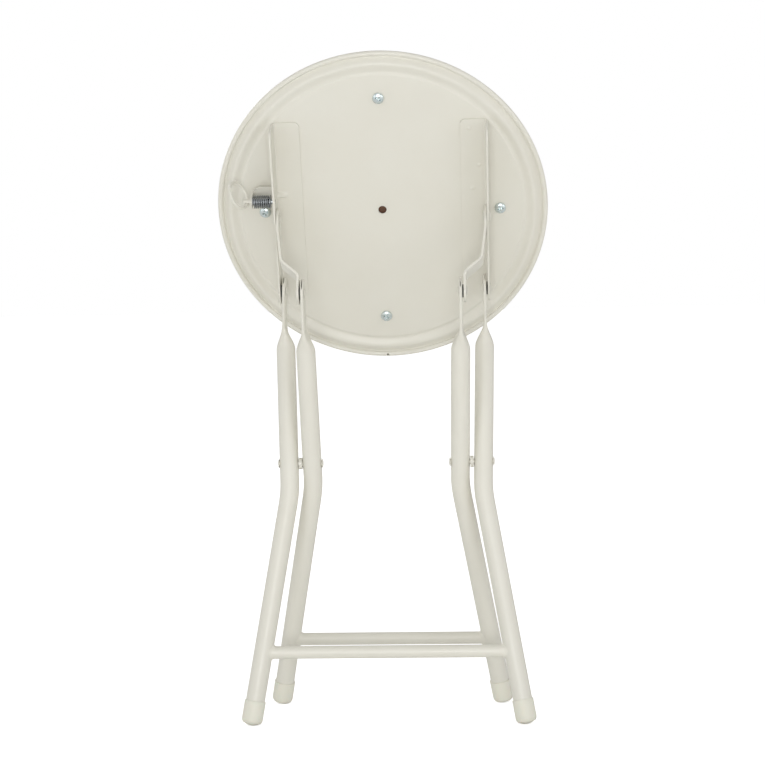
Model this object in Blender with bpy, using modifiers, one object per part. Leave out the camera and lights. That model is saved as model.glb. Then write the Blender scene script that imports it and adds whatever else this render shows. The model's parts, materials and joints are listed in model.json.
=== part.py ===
"""Round folding stool, built at its real size in metres, +Z up.

A pressed steel seat pan carries a padded top on one side and two L-shaped rails on the other.
Two crossed tube frames hang from the rails: the outer one directly, the inner one through a
pair of joggled links, so seat, frames and links make one four-bar fold. A sprung pull pin on
the left rail locks the left link when the stool is open.

The stool stands half folded, as in use when it is put away: the seat is up, its underside
faces -Y, and the outer frame's feet are on the -Y side. The origin is on the floor, at the
middle of the whole stool's box.
"""
import math

import bmesh
import bpy
from mathutils import Matrix, Vector

MM = 0.001

# Clearances
GAP = 0.3 * MM              # between faces that touch on the real stool
RIVET_GAP = 0.3 * MM        # between a rivet's shank and its hole, on the radius
PIN_GAP = 0.3 * MM          # between the lock pin and its holes, on the radius
SHAFT_GAP = 0.3 * MM        # between a seat screw and its hole, on the radius
CAP_GAP = 0.25 * MM         # between a foot cap and its tube, on the radius

# Fold
UPPER_REACH = 174.35 * MM   # crossing pivot to a frame's top pivot, along the frame
LOWER_REACH = 259.3 * MM    # crossing pivot to the tip of a foot, along the frame
LINK_PITCH = 78.8 * MM      # link pivot to link pivot, and seat pivot to link pivot
FOLD_ANGLE = math.radians(20.36)     # between the two frames as the stool stands here

# Tubes
TUBE_R = 9.5 * MM
TUBE_WALL = 1.5 * MM
TUBE_SIDES = 16
TAB_HALF_WIDTH = 13.9 * MM  # a flattened end is this wide each side of its pivot
PINCH_TOP = 34.4 * MM       # the flat begins this far below the top pivot
PINCH_LENGTH = 25.0 * MM
PINCH_STEPS = 6
BEND_R = 120.0 * MM
BEND_STEPS = 5

TAB_SLIT = 1.0 * MM         # left between the walls where the flattened end is open
TAB_SLIT_RISE = 7.0 * MM    # the slit begins this far above the pivot

# Outer frame, across the stool on each side
OUTER_PLAY = 1.7 * MM       # between the rail and the outer tab
OUTER_LEAN_IN = 4.3 * MM    # the bend is this much nearer the middle than the tab
OUTER_PINCH_IN = 1.0 * MM   # and the start of the flat this much
OUTER_SPLAY_OUT = 39.9 * MM          # from the bend out to the foot
OUTER_BEND_DROP = 29.0 * MM          # below the crossing pivot
OUTER_BAR_DROP = 187.8 * MM

# Inner frame, across the stool on each side
INNER_PLAY = 1.65 * MM      # between the link and the inner tab
TUBE_SPACE = 4.0 * MM       # between the two frames' tubes at the crossing
INNER_PINCH_IN = 0.9 * MM
INNER_SPLAY_OUT = 41.4 * MM
INNER_BEND_DROP = 24.4 * MM
INNER_BAR_DROP = 188.9 * MM

# Crossbars
BAR_R = 6.35 * MM
BAR_WALL = 1.2 * MM
BAR_SIDES = 20

# Foot caps
CAP_WALL = 0.75 * MM
CAP_LENGTH = 24.5 * MM
CAP_FLOOR = 5.0 * MM
CAP_DOME_R = 14.0 * MM
CAP_FLAT_DEPTH = 0.5 * MM   # the dome is worn flat this deep where it meets the floor
CAP_SIDES = 16

# Seat pan, heights measured from its flat underside towards the legs
PAN_R = 165.0 * MM          # over the rolled edge
PAN_SHEET = 1.0 * MM
PAN_HOLE_R = 4.0 * MM
RIM_ROLL_R = 2.6 * MM       # radius of the rolled edge's cross-section
RIM_ROLL_DEPTH = 2.1 * MM
RIM_HOLE_R = 1.3 * MM       # small hole in the rolled edge, on the side of the seat pivot
RIM_HOLE_DEPTH = 2.4 * MM
VALLEY_IN = 3.0 * MM        # from the rolled edge's middle in to the valley
VALLEY_DEPTH = 2.8 * MM
BEAD_OUTER_WIDTH = 7.6 * MM          # from the valley in to the bead's crest
BEAD_INNER_WIDTH = 8.0 * MM          # from the crest in to the channel
BEAD_HEIGHT = 1.2 * MM      # of the crest above the flat
CHANNEL_DEPTH = 1.2 * MM
CHANNEL_WIDTH = 3.2 * MM    # from the channel in to the flat
PAN_SIDES = 48
EASE_STEPS = 4

# Seat above the pan
BOARD_INSET = 2.6 * MM      # the board ends this far inside the bead's crest
BOARD_THICKNESS = 9.0 * MM
COVER_THICKNESS = 1.0 * MM
CUSHION_INSET = 4.0 * MM    # the cushion's widest line inside the pan's edge
CUSHION_TUCK = 4.5 * MM     # the cover draws in this far at its lower edge
CUSHION_HEIGHT = 31.0 * MM  # from its lower edge to the top of the crown
CUSHION_EDGE_RISE = 4.2 * MM         # from the lower edge to the widest point
CUSHION_SHOULDER = 22.0 * MM
CUSHION_STEPS = 6
CUSHION_SIDES = 44

# Seat screws
SCREW_TO_RAIL = 5.9 * MM    # between a screw's head and a rail's outer face
SCREW_COUNT = 4
SCREW_HEAD_R = 5.7 * MM
SCREW_HEAD_HEIGHT = 3.0 * MM
SCREW_SHANK_R = 2.3 * MM
SCREW_END_COVER = 0.8 * MM  # the tip stops this far below the top of the board
SCREW_SLOT_LENGTH = 5.6 * MM
SCREW_SLOT_WIDTH = 1.1 * MM
SCREW_SLOT_DEPTH = 1.6 * MM

# Rails under the pan
RAIL_OUTER_X = 106.0 * MM
RAIL_SHEET = 1.8 * MM
RAIL_BASE_WIDTH = 27.0 * MM
RAIL_HEIGHT = 34.0 * MM
RAIL_BEND_R = 2.6 * MM      # of the middle of the sheet
RAIL_TOP = 94.5 * MM        # upper end, above the seat's centre
RAIL_BOTTOM_REACH = 12.8 * MM        # lower end, below the seat pivot
RAIL_BASE_CORNER_R = 4.5 * MM
RAIL_WALL_CORNER_R = 12.0 * MM
RAIL_CORNER_STEPS = 5
SEAT_PIVOT_DROP = 77.7 * MM          # seat pivot below the seat's centre
SEAT_PIVOT_HEIGHT = 22.2 * MM        # seat pivot and link pivot above the pan

DART_R = 2.2 * MM           # pressed dart across the left rail's inner corner
DART_REACH = 10.5 * MM      # over the base
DART_RISE = 6.5 * MM        # up the wall
DART_BELOW_PIN = 1.4 * MM

# Links
LINK_SHEET = 2.3 * MM
LINK_HALF_WIDTH = 11.0 * MM
LINK_PLAY = 0.45 * MM       # between the rail and the link
LINK_NECK_IN = 4.2 * MM     # the neck is this much nearer the middle than the upper pivot
LINK_JOGGLE_IN = 21.0 * MM  # and the lower pivot this much
LINK_STRAIGHT = 14.0 * MM   # flat length below the upper pivot
LINK_NECK = 48.0 * MM       # where the joggle begins
LINK_JOGGLE_END = 62.5 * MM
LINK_END_STEPS = 6

# Rivets, spacers and washers
RIVET_R = 3.0 * MM
RIVET_HEAD_R = 5.2 * MM
RIVET_TAIL_R = 4.6 * MM
RIVET_HEAD_HEIGHT = 1.9 * MM
RIVET_TAIL_HEIGHT = 1.4 * MM
LOW_HEAD_HEIGHT = 1.2 * MM  # of the seat, crossing and knee rivets' outer heads
RIVET_SIDES = 12
SPACER_R = 5.75 * MM
WASHER_R = 6.5 * MM
WASHER_SIDES = 16

# Pull pin lock on the left rail
PIN_ABOVE_LINK_PIVOT = 19.2 * MM
PIN_NOSE_R = 2.5 * MM
PIN_ROD_R = 3.0 * MM
PIN_END_COVER = 1.3 * MM    # of the rod beyond the ring's hole
PIN_COLLAR_R = 6.8 * MM
PIN_COLLAR_THICKNESS = 1.0 * MM
PIN_LOCK_TRAVEL = 2.4 * MM  # inwards, into the link
PIN_PULL_TRAVEL = 1.5 * MM  # outwards, against the spring
LOCK_EAR_REACH = 21.0 * MM  # from the rail out to the bracket's ear
LOCK_SHEET = 1.3 * MM
LOCK_EAR_HALF_WIDTH = 6.4 * MM
LOCK_WEB_DROP = 13.0 * MM   # top of the web below the pin's axis
LOCK_WEB_LOW = 7.5 * MM     # web's reach below and above the pin's axis, along the seat
LOCK_WEB_HIGH = 10.5 * MM
RING_WIRE_R = 1.5 * MM
RING_R = 13.4 * MM          # of the middle of the wire
RING_HOLE_GAP = 0.6 * MM    # between the ring's wire and its hole, on the radius
RING_ROLL = math.radians(-60.0)      # turns the ring's hole about the pin's axis
RING_TILT = math.radians(57.0)       # turns the ring from the pin's axis towards the legs
SPRING_R = 6.1 * MM         # of the middle of the wire
SPRING_WIRE_R = 0.6 * MM
SPRING_PITCH = 2.0 * MM
SPRING_POINTS = 9
MIN_TURN_GAP = 0.4 * MM

# Colours, roughness and metallic value of each finish
FINISHES = {
    "cream_paint": ((0.71, 0.69, 0.58), 0.35, 0.0),
    "cream_vinyl": ((0.70, 0.68, 0.57), 0.55, 0.0),
    "cream_plastic": ((0.72, 0.71, 0.62), 0.45, 0.0),
    "zinc": ((0.62, 0.68, 0.70), 0.3, 1.0),
    "spring_steel": ((0.16, 0.17, 0.18), 0.3, 1.0),
    "plywood": ((0.30, 0.19, 0.13), 0.7, 0.0),
    "foam": ((0.80, 0.74, 0.55), 0.9, 0.0),
}

# Sizes that follow from the ones above
HALF_FOLD = FOLD_ANGLE / 2
LINK_HALF_FOLD = math.asin(UPPER_REACH / LINK_PITCH * math.sin(HALF_FOLD))
SEAT_LEAN = LINK_HALF_FOLD
CAP_R = TUBE_R + CAP_GAP + CAP_WALL
PINCH_BOTTOM_T = UPPER_REACH - PINCH_TOP - PINCH_LENGTH
PINCH_TOP_T = UPPER_REACH - PINCH_TOP
TAB_HALF_THICKNESS = TUBE_WALL
HOLE_R = RIVET_R + RIVET_GAP
RAIL_INNER_X = RAIL_OUTER_X - RAIL_SHEET
OUTER_TAB_X = RAIL_INNER_X - OUTER_PLAY - TAB_HALF_THICKNESS
OUTER_BEND_X = OUTER_TAB_X - OUTER_LEAN_IN
LINK_UPPER_X = RAIL_INNER_X - LINK_PLAY - LINK_SHEET / 2
LINK_LOWER_X = LINK_UPPER_X - LINK_JOGGLE_IN
INNER_TAB_X = LINK_LOWER_X - LINK_SHEET / 2 - INNER_PLAY - TAB_HALF_THICKNESS
INNER_BEND_X = OUTER_BEND_X - TUBE_SPACE - 2 * TUBE_R
RIM_ROLL_CENTRE_R = PAN_R - RIM_ROLL_R
VALLEY_R = RIM_ROLL_CENTRE_R - VALLEY_IN
CREST_R = VALLEY_R - BEAD_OUTER_WIDTH
CHANNEL_R = CREST_R - BEAD_INNER_WIDTH
PAN_FLAT_R = CHANNEL_R - CHANNEL_WIDTH
BOARD_R = CREST_R - BOARD_INSET
CUSHION_R = PAN_R - CUSHION_INSET
SCREW_CIRCLE_R = RAIL_OUTER_X + SCREW_TO_RAIL + SCREW_HEAD_R
LINK_PIVOT_S = LINK_PITCH - SEAT_PIVOT_DROP
PIN_S = LINK_PIVOT_S + PIN_ABOVE_LINK_PIVOT
RAIL_BOTTOM = -SEAT_PIVOT_DROP - RAIL_BOTTOM_REACH
BOARD_TOP = -CHANNEL_DEPTH - PAN_SHEET - GAP
BOARD_FAR = BOARD_TOP - BOARD_THICKNESS
CUSHION_EDGE = -RIM_ROLL_DEPTH - RIM_ROLL_R - 2 * GAP
LOCK_EAR_X = RAIL_OUTER_X + LOCK_EAR_REACH
LOCK_EAR_OUTER_X = LOCK_EAR_X + LOCK_SHEET
RING_HOLE_R = RING_WIRE_R + RING_HOLE_GAP
RING_HOLE_X = LOCK_EAR_OUTER_X + GAP + PIN_LOCK_TRAVEL + RING_WIRE_R
PIN_END_X = RING_HOLE_X + RING_HOLE_R + PIN_END_COVER
COLLAR_X = RAIL_OUTER_X + GAP + PIN_LOCK_TRAVEL
SIDES = (("right", 1), ("left", -1))


class Frame:
    """The sizes in which the outer and the inner tube frame differ."""

    def __init__(self, name, tab_x, pinch_x, bend_x, foot_x, bend_drop, bar_drop):
        self.name = name
        self.tab_x = tab_x
        self.pinch_x = pinch_x
        self.bend_x = bend_x
        self.foot_x = foot_x
        self.bend_drop = bend_drop
        self.bar_drop = bar_drop
        self.splay = math.atan((foot_x - bend_x) / (LOWER_REACH - bend_drop))
        self.lean = math.atan((pinch_x - bend_x) / (PINCH_BOTTOM_T + bend_drop))

    def upper_x(self, height):
        """Tube centre between the bend and the pinch, at a height above the crossing."""
        return self.bend_x + (height + self.bend_drop) * math.tan(self.lean)

    def lower_x(self, drop):
        """Tube centre below the bend, at a drop below the crossing."""
        return self.bend_x + (drop - self.bend_drop) * math.tan(self.splay)


OUTER = Frame("outer", OUTER_TAB_X, OUTER_TAB_X - OUTER_PINCH_IN, OUTER_BEND_X,
              OUTER_BEND_X + OUTER_SPLAY_OUT, OUTER_BEND_DROP, OUTER_BAR_DROP)
INNER = Frame("inner", INNER_TAB_X, INNER_TAB_X - INNER_PINCH_IN, INNER_BEND_X,
              INNER_BEND_X + INNER_SPLAY_OUT, INNER_BEND_DROP, INNER_BAR_DROP)


def clear_scene():
    for obj in list(bpy.data.objects):
        bpy.data.objects.remove(obj, do_unlink=True)


def make_collection(name):
    collection = bpy.data.collections.new(name)
    bpy.context.scene.collection.children.link(collection)
    return collection


def make_materials():
    materials = {}
    for name, (colour, roughness, metallic) in FINISHES.items():
        material = bpy.data.materials.new(name)
        material.use_nodes = True
        shader = material.node_tree.nodes["Principled BSDF"]
        shader.inputs["Base Color"].default_value = (*colour, 1.0)
        shader.inputs["Roughness"].default_value = roughness
        shader.inputs["Metallic"].default_value = metallic
        materials[name] = material
    return materials


def empty(name, parent, location=(0, 0, 0), turn_x=0.0):
    obj = bpy.data.objects.new(name, None)
    PARTS.objects.link(obj)
    obj.parent = parent
    obj.location = location
    obj.rotation_euler = (turn_x, 0, 0)
    return obj


def add_object(name, mesh, parent, finish, location=(0, 0, 0), rotation=(0, 0, 0)):
    obj = bpy.data.objects.new(name, mesh)
    PARTS.objects.link(obj)
    if not mesh.materials:
        mesh.materials.append(MATERIALS[finish])
    obj.parent = parent
    obj.location = location
    obj.rotation_euler = rotation
    return obj


def add_cutter(name, mesh, parent, location=(0, 0, 0), rotation=(0, 0, 0)):
    obj = bpy.data.objects.new(name, mesh)
    CUTTERS.objects.link(obj)
    obj.parent = parent
    obj.location = location
    obj.rotation_euler = rotation
    obj.hide_render = True
    obj.display_type = "WIRE"
    return obj


def boolean(obj, other, operation="DIFFERENCE"):
    modifier = obj.modifiers.new(operation.title(), "BOOLEAN")
    modifier.operation = operation
    modifier.solver = "EXACT"
    modifier.object = other


def mesh_from_bmesh(name, bm):
    mesh = bpy.data.meshes.new(name)
    bm.to_mesh(mesh)
    bm.free()
    return mesh


def soften(mesh, angle=math.radians(40)):
    mesh.shade_smooth()
    mesh.set_sharp_from_angle(angle=angle)


def cylinder_mesh(name, radius, low, high, sides):
    """Closed cylinder along Z between two heights."""
    bm = bmesh.new()
    lift = Matrix.Translation((0, 0, (low + high) / 2))
    bmesh.ops.create_cone(bm, cap_ends=True, segments=sides, radius1=radius, radius2=radius,
                          depth=high - low, matrix=lift)
    return mesh_from_bmesh(name, bm)


def box_mesh(name, low, high):
    """Closed box between two corners."""
    bm = bmesh.new()
    bmesh.ops.create_cube(bm, size=1.0)
    size = Vector(high) - Vector(low)
    centre = (Vector(high) + Vector(low)) / 2
    bmesh.ops.transform(bm, matrix=Matrix.Translation(centre) @ Matrix.Diagonal((*size, 1)),
                        verts=bm.verts)
    return mesh_from_bmesh(name, bm)


def profile_mesh(name, points, closed):
    """Edge chain of (radius, height) points in the XZ plane, for a Screw modifier."""
    bm = bmesh.new()
    verts = [bm.verts.new((radius, 0, height)) for radius, height in points]
    for start, end in zip(verts, verts[1:]):
        bm.edges.new((start, end))
    if closed:
        bm.edges.new((verts[-1], verts[0]))
    return mesh_from_bmesh(name, bm)


def turn(obj, steps):
    """Turns a profile about its own Z axis."""
    modifier = obj.modifiers.new("Turn", "SCREW")
    modifier.axis = "Z"
    modifier.angle = math.tau
    modifier.steps = steps
    modifier.render_steps = steps
    modifier.use_merge_vertices = True
    modifier.merge_threshold = 0.00001
    modifier.use_smooth_shade = True


def outward(side):
    """Rotation that turns a piece's own Z axis outwards, across the stool."""
    return (0, side * math.pi / 2, 0)


def loft(bm, rings):
    """Joins equal rings of vertices with quads and returns nothing; ends stay open."""
    for near, far in zip(rings, rings[1:]):
        count = len(near)
        for index in range(count):
            following = (index + 1) % count
            bm.faces.new((near[index], near[following], far[following], far[index]))


def round_section(radius):
    """Points of a round tube, as (across, along the tab's width)."""
    return [(radius * math.cos(math.tau * k / TUBE_SIDES), radius * math.sin(math.tau * k / TUBE_SIDES))
            for k in range(TUBE_SIDES)]


def flat_section(half_thickness, half_width):
    """Points of a flattened tube, two flat sides with round edges, in the round tube's order."""
    quarter = TUBE_SIDES // 4
    straight = max(half_width - half_thickness, 0.0)
    arc = quarter // 2
    first = [(half_thickness, straight * k / arc) for k in range(arc)]
    for k in range(quarter - arc + 1):
        angle = math.pi / 2 * k / (quarter - arc)
        first.append((half_thickness * math.cos(angle), straight + half_thickness * math.sin(angle)))
    mirrored = [(-x, y) for x, y in reversed(first[:-1])]
    upper = first + mirrored
    lower = [(x, -y) for x, y in reversed(upper[1:-1])]
    return upper + lower


def ease(share):
    """Smooth step from 0 to 1."""
    return share * share * (3 - 2 * share)


def leg_path(frame):
    """Centre line of a leg from foot to tab, as (across, along, lean, flatness, half width)."""
    foot_drop = LOWER_REACH - (CAP_FLOOR + GAP) * math.cos(frame.splay)
    path = [(frame.lower_x(foot_drop), -foot_drop, -frame.splay, 0.0)]
    turn_angle = frame.splay + frame.lean
    tangent = BEND_R * math.tan(turn_angle / 2)
    start_x = frame.bend_x + tangent * math.sin(frame.splay)
    start_t = -frame.bend_drop - tangent * math.cos(frame.splay)
    centre_x = start_x + BEND_R * math.cos(frame.splay)
    centre_t = start_t + BEND_R * math.sin(frame.splay)
    for k in range(BEND_STEPS + 1):
        angle = -frame.splay + turn_angle * k / BEND_STEPS
        path.append((centre_x - BEND_R * math.cos(angle), centre_t + BEND_R * math.sin(angle),
                     angle, 0.0))
    for k in range(PINCH_STEPS + 1):
        share = k / PINCH_STEPS
        path.append((frame.pinch_x + (frame.tab_x - frame.pinch_x) * ease(share),
                     PINCH_BOTTOM_T + PINCH_LENGTH * share,
                     frame.lean * (1 - share), ease(share)))
    return path


def leg_mesh(frame, side):
    """Bent tube, hollow from the foot to the pinch, flattened to a round-ended tab at the top."""
    bm = bmesh.new()

    def ring(x, t, lean, section):
        across = Vector((math.cos(lean), 0, -math.sin(lean)))
        centre = Vector((x, 0, t))
        points = [centre + across * a + Vector((0, b, 0)) for a, b in section]
        return [bm.verts.new((side * p.x, p.y, p.z)) for p in points]

    outer_rings = []
    inner_rings = []
    for x, t, lean, flat in leg_path(frame):
        round_pts = round_section(TUBE_R)
        flat_pts = flat_section(TAB_HALF_THICKNESS, TAB_HALF_WIDTH)
        outer = [(a + (c - a) * flat, b + (d - b) * flat)
                 for (a, b), (c, d) in zip(round_pts, flat_pts)]
        outer_rings.append(ring(x, t, lean, outer))
        if flat < 0.8:
            bore_pts = round_section(TUBE_R - TUBE_WALL)
            slit_pts = flat_section(TAB_HALF_THICKNESS * 0.1, TAB_HALF_WIDTH - TUBE_WALL)
            bore = [(a + (c - a) * flat, b + (d - b) * flat)
                    for (a, b), (c, d) in zip(bore_pts, slit_pts)]
            inner_rings.append(ring(x, t, lean, bore))
    for k in range(LINK_END_STEPS + 1):
        angle = math.radians(84.0) * k / LINK_END_STEPS
        section = flat_section(TAB_HALF_THICKNESS, max(TAB_HALF_WIDTH * math.cos(angle),
                                                       TAB_HALF_THICKNESS))
        outer_rings.append(ring(frame.tab_x, UPPER_REACH + TAB_HALF_WIDTH * math.sin(angle), 0.0,
                                section))
    loft(bm, outer_rings)
    loft(bm, inner_rings)
    loft(bm, [outer_rings[0], inner_rings[0]])
    bm.faces.new(outer_rings[-1])
    bm.faces.new(inner_rings[-1])
    bmesh.ops.recalc_face_normals(bm, faces=bm.faces)
    mesh = mesh_from_bmesh(f"leg_{frame.name}", bm)
    soften(mesh)
    return mesh


def across_hole(parent, name, radius, inner_x, outer_x, side, y=0.0, z=0.0, sides=16):
    """Cutter for a hole that runs across the stool."""
    mesh = cylinder_mesh(name, radius, inner_x, outer_x, sides)
    return add_cutter(name, mesh, parent, (0, y, z), outward(side))


def make_frame(frame, parent, floor_cutter):
    """Two legs, their crossbar and their foot caps."""
    leg_cutters = []
    for name, side in SIDES:
        leg = add_object(f"leg_{frame.name}_{name}", leg_mesh(frame, side), parent, "cream_paint")
        crossing = across_hole(parent, f"crossing_hole_{frame.name}_{name}", HOLE_R,
                               frame.bend_x - 2 * TUBE_R, frame.tab_x + 2 * TUBE_R, side)
        top = across_hole(parent, f"top_hole_{frame.name}_{name}", HOLE_R,
                          frame.tab_x - TUBE_R, frame.tab_x + TUBE_R, side, z=UPPER_REACH)
        slit = add_cutter(f"tab_slit_{frame.name}_{name}", box_mesh(
            "tab_slit", (-TAB_SLIT / 2, -2 * TAB_HALF_WIDTH, TAB_SLIT_RISE),
            (TAB_SLIT / 2, 2 * TAB_HALF_WIDTH, 2 * TAB_HALF_WIDTH)), parent,
            (side * frame.tab_x, 0, UPPER_REACH))
        boolean(leg, crossing)
        boolean(leg, top)
        boolean(leg, slit)
        make_foot(frame, parent, name, side, floor_cutter)
        axis = (0, side * -frame.splay, 0)
        place = (side * frame.lower_x(frame.bar_drop), 0, -frame.bar_drop)
        saddle = cylinder_mesh(f"saddle_{frame.name}", TUBE_R + GAP, -3 * BAR_R, 3 * BAR_R, 32)
        leg_cutters.append(add_cutter(f"saddle_{frame.name}_{name}", saddle, parent, place, axis))
    reach = frame.lower_x(frame.bar_drop)
    bore = BAR_R - BAR_WALL
    profile = [(bore, reach), (BAR_R, reach), (BAR_R, -reach), (bore, -reach)]
    bar = add_object(f"crossbar_{frame.name}", profile_mesh("crossbar", profile, True), parent,
                     "cream_paint", (0, 0, -frame.bar_drop), outward(1))
    turn(bar, BAR_SIDES)
    for cutter in leg_cutters:
        boolean(bar, cutter)


def foot_profile():
    """Cup with a domed sole, its tip at height 0."""
    bore = TUBE_R + CAP_GAP
    lip = 0.5 * CAP_WALL
    points = [(0, CAP_FLOOR), (bore, CAP_FLOOR), (bore, CAP_LENGTH), (CAP_R - lip, CAP_LENGTH),
              (CAP_R, CAP_LENGTH - lip)]
    corner = CAP_R * 0.28
    flat_end = CAP_R - corner
    dome_rise = CAP_DOME_R - math.sqrt(CAP_DOME_R ** 2 - flat_end ** 2)
    for k in range(EASE_STEPS):
        angle = math.pi / 2 * k / EASE_STEPS
        points.append((flat_end + corner * math.cos(angle),
                       dome_rise + 1.6 * corner * (1 - math.sin(angle))))
    for share in (1.0, 0.7, 0.4):
        radius = flat_end * share
        points.append((radius, CAP_DOME_R - math.sqrt(CAP_DOME_R ** 2 - radius ** 2)))
    points.append((0, 0))
    return points


def make_foot(frame, parent, name, side, floor_cutter):
    cap = add_object(f"foot_{frame.name}_{name}", profile_mesh("foot", foot_profile(), False), parent,
                     "cream_plastic", (side * frame.foot_x, 0, -LOWER_REACH),
                     (0, side * -frame.splay, 0))
    turn(cap, CAP_SIDES)
    boolean(cap, floor_cutter)


def rivet_profile(head_face, head_r, head_height, tail_face, tail_r, tail_height):
    """Domed head outside, shank, and domed tail inside; heights are distances across the stool."""
    points = [(0, head_face + head_height), (head_r * 0.55, head_face + head_height * 0.86),
              (head_r * 0.87, head_face + head_height * 0.45), (head_r, head_face),
              (RIVET_R, head_face), (RIVET_R, tail_face)]
    if tail_height:
        points += [(tail_r, tail_face), (tail_r * 0.85, tail_face - tail_height * 0.5),
                   (tail_r * 0.5, tail_face - tail_height * 0.9), (0, tail_face - tail_height)]
    else:
        points.append((0, tail_face))
    return points


def make_rivet(name, parent, side, profile, y=0.0, z=0.0):
    rivet = add_object(name, profile_mesh("rivet", profile, False), parent, "cream_paint",
                       (0, y, z), outward(side))
    turn(rivet, RIVET_SIDES)


def make_ring_piece(name, parent, side, radius, inner_face, outer_face, finish, y=0.0, z=0.0):
    """Washer or spacer between two distances across the stool."""
    profile = [(HOLE_R, outer_face), (radius, outer_face), (radius, inner_face),
               (HOLE_R, inner_face)]
    piece = add_object(name, profile_mesh("washer", profile, True), parent, finish,
                       (0, y, z), outward(side))
    turn(piece, WASHER_SIDES)


def make_crossing(parent):
    """Long rivet through both tubes on each side, with a spacer between them."""
    tilt_allowance = SPACER_R * math.tan(OUTER.lean) + GAP
    outer_far = OUTER.upper_x(0) + TUBE_R
    outer_near = OUTER.upper_x(0) - TUBE_R
    inner_far = INNER.upper_x(0) + TUBE_R
    inner_near = INNER.upper_x(0) - TUBE_R
    profile = rivet_profile(outer_far + tilt_allowance, RIVET_TAIL_R, LOW_HEAD_HEIGHT,
                            inner_near - tilt_allowance, RIVET_TAIL_R, RIVET_TAIL_HEIGHT)
    for name, side in SIDES:
        make_rivet(f"crossing_rivet_{name}", parent, side, profile)
        make_ring_piece(f"crossing_spacer_{name}", parent, side, SPACER_R,
                        inner_far + tilt_allowance, outer_near - tilt_allowance, "cream_paint")


def make_seat_pivots(hinge):
    """Rivet through rail and outer tab on each side, with a washer between them."""
    tab_far = OUTER.tab_x + TAB_HALF_THICKNESS
    tab_near = OUTER.tab_x - TAB_HALF_THICKNESS
    profile = rivet_profile(RAIL_OUTER_X + GAP, RIVET_HEAD_R, LOW_HEAD_HEIGHT,
                            tab_near - GAP, RIVET_TAIL_R, RIVET_TAIL_HEIGHT)
    for name, side in SIDES:
        make_rivet(f"seat_rivet_{name}", hinge, side, profile)
        make_ring_piece(f"seat_washer_{name}", hinge, side, WASHER_R, tab_far + GAP,
                        RAIL_INNER_X - GAP, "zinc")


def pan_face():
    """The pan's underside from its centre hole to the foot of the rolled edge."""
    points = [(PAN_HOLE_R, 0.0), (PAN_FLAT_R, 0.0)]
    bends = [(PAN_FLAT_R, 0.0), (CHANNEL_R, -CHANNEL_DEPTH), (CREST_R, BEAD_HEIGHT),
             (VALLEY_R, -VALLEY_DEPTH)]
    for (start_r, start_h), (end_r, end_h) in zip(bends, bends[1:]):
        for k in range(1, EASE_STEPS + 1):
            share = k / EASE_STEPS
            points.append((start_r + (end_r - start_r) * share,
                           start_h + (end_h - start_h) * ease(share)))
    return points


def pan_profile():
    """Closed section of the pan: underside, rolled edge, and the upper side of the sheet."""
    under = pan_face()
    roll = []
    for degrees in (190, 150, 110, 70, 30, -10, -50, -90):
        angle = math.radians(degrees)
        roll.append((RIM_ROLL_CENTRE_R + RIM_ROLL_R * math.cos(angle),
                     -RIM_ROLL_DEPTH + RIM_ROLL_R * math.sin(angle)))
    upper = [(radius, height - PAN_SHEET) for radius, height in reversed(under)]
    return under + roll + upper


def polar(radius, angle, height=0.0):
    return (radius * math.cos(angle), radius * math.sin(angle), height)


def make_pan_and_board(seat):
    pan = add_object("seat_pan", profile_mesh("seat_pan", pan_profile(), True), seat, "cream_paint")
    turn(pan, PAN_SIDES)
    board_profile = [(0, BOARD_TOP), (BOARD_R, BOARD_TOP), (BOARD_R, BOARD_FAR), (0, BOARD_FAR)]
    board = add_object("seat_board", profile_mesh("seat_board", board_profile, False), seat,
                       "plywood")
    turn(board, PAN_SIDES)
    for index in range(SCREW_COUNT):
        place = polar(SCREW_CIRCLE_R, math.tau * index / SCREW_COUNT)
        mesh = cylinder_mesh("screw_hole", SCREW_SHANK_R + SHAFT_GAP, 2 * BOARD_FAR, -BOARD_FAR, 16)
        hole = add_cutter(f"screw_hole_{index + 1}", mesh, seat, place)
        boolean(pan, hole)
        boolean(board, hole)
    rim_top = RIM_ROLL_R - RIM_ROLL_DEPTH
    rim_mesh = cylinder_mesh("rim_hole", RIM_HOLE_R, rim_top - RIM_HOLE_DEPTH, 2 * RIM_ROLL_R, 12)
    boolean(pan, add_cutter("rim_hole", rim_mesh, seat, (0, -RIM_ROLL_CENTRE_R, 0)))


def make_screws(seat):
    """Pan-head screws with a cross recess, from the underside into the board."""
    top = GAP + SCREW_HEAD_HEIGHT
    tip = BOARD_FAR + SCREW_END_COVER
    profile = [(0, top), (SCREW_HEAD_R * 0.5, GAP + SCREW_HEAD_HEIGHT * 0.93),
               (SCREW_HEAD_R * 0.82, GAP + SCREW_HEAD_HEIGHT * 0.66),
               (SCREW_HEAD_R * 0.97, GAP + SCREW_HEAD_HEIGHT * 0.3), (SCREW_HEAD_R, GAP),
               (SCREW_SHANK_R, GAP), (SCREW_SHANK_R, tip + SCREW_SHANK_R), (0, tip)]
    half_length = SCREW_SLOT_LENGTH / 2
    half_width = SCREW_SLOT_WIDTH / 2
    slot = box_mesh("screw_slot", (-half_length, -half_width, top - SCREW_SLOT_DEPTH),
                    (half_length, half_width, top + SCREW_HEAD_HEIGHT))
    for index in range(SCREW_COUNT):
        place = polar(SCREW_CIRCLE_R, math.tau * index / SCREW_COUNT)
        screw = add_object(f"seat_screw_{index + 1}", profile_mesh("screw", profile, False), seat,
                           "zinc", place)
        turn(screw, RIVET_SIDES)
        for arm in range(2):
            angle = math.pi * (0.25 * index + 0.5 * arm + 0.1)
            cutter = add_cutter(f"screw_slot_{index + 1}_{arm + 1}", slot, seat, place, (0, 0, angle))
            boolean(screw, cutter)


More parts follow.
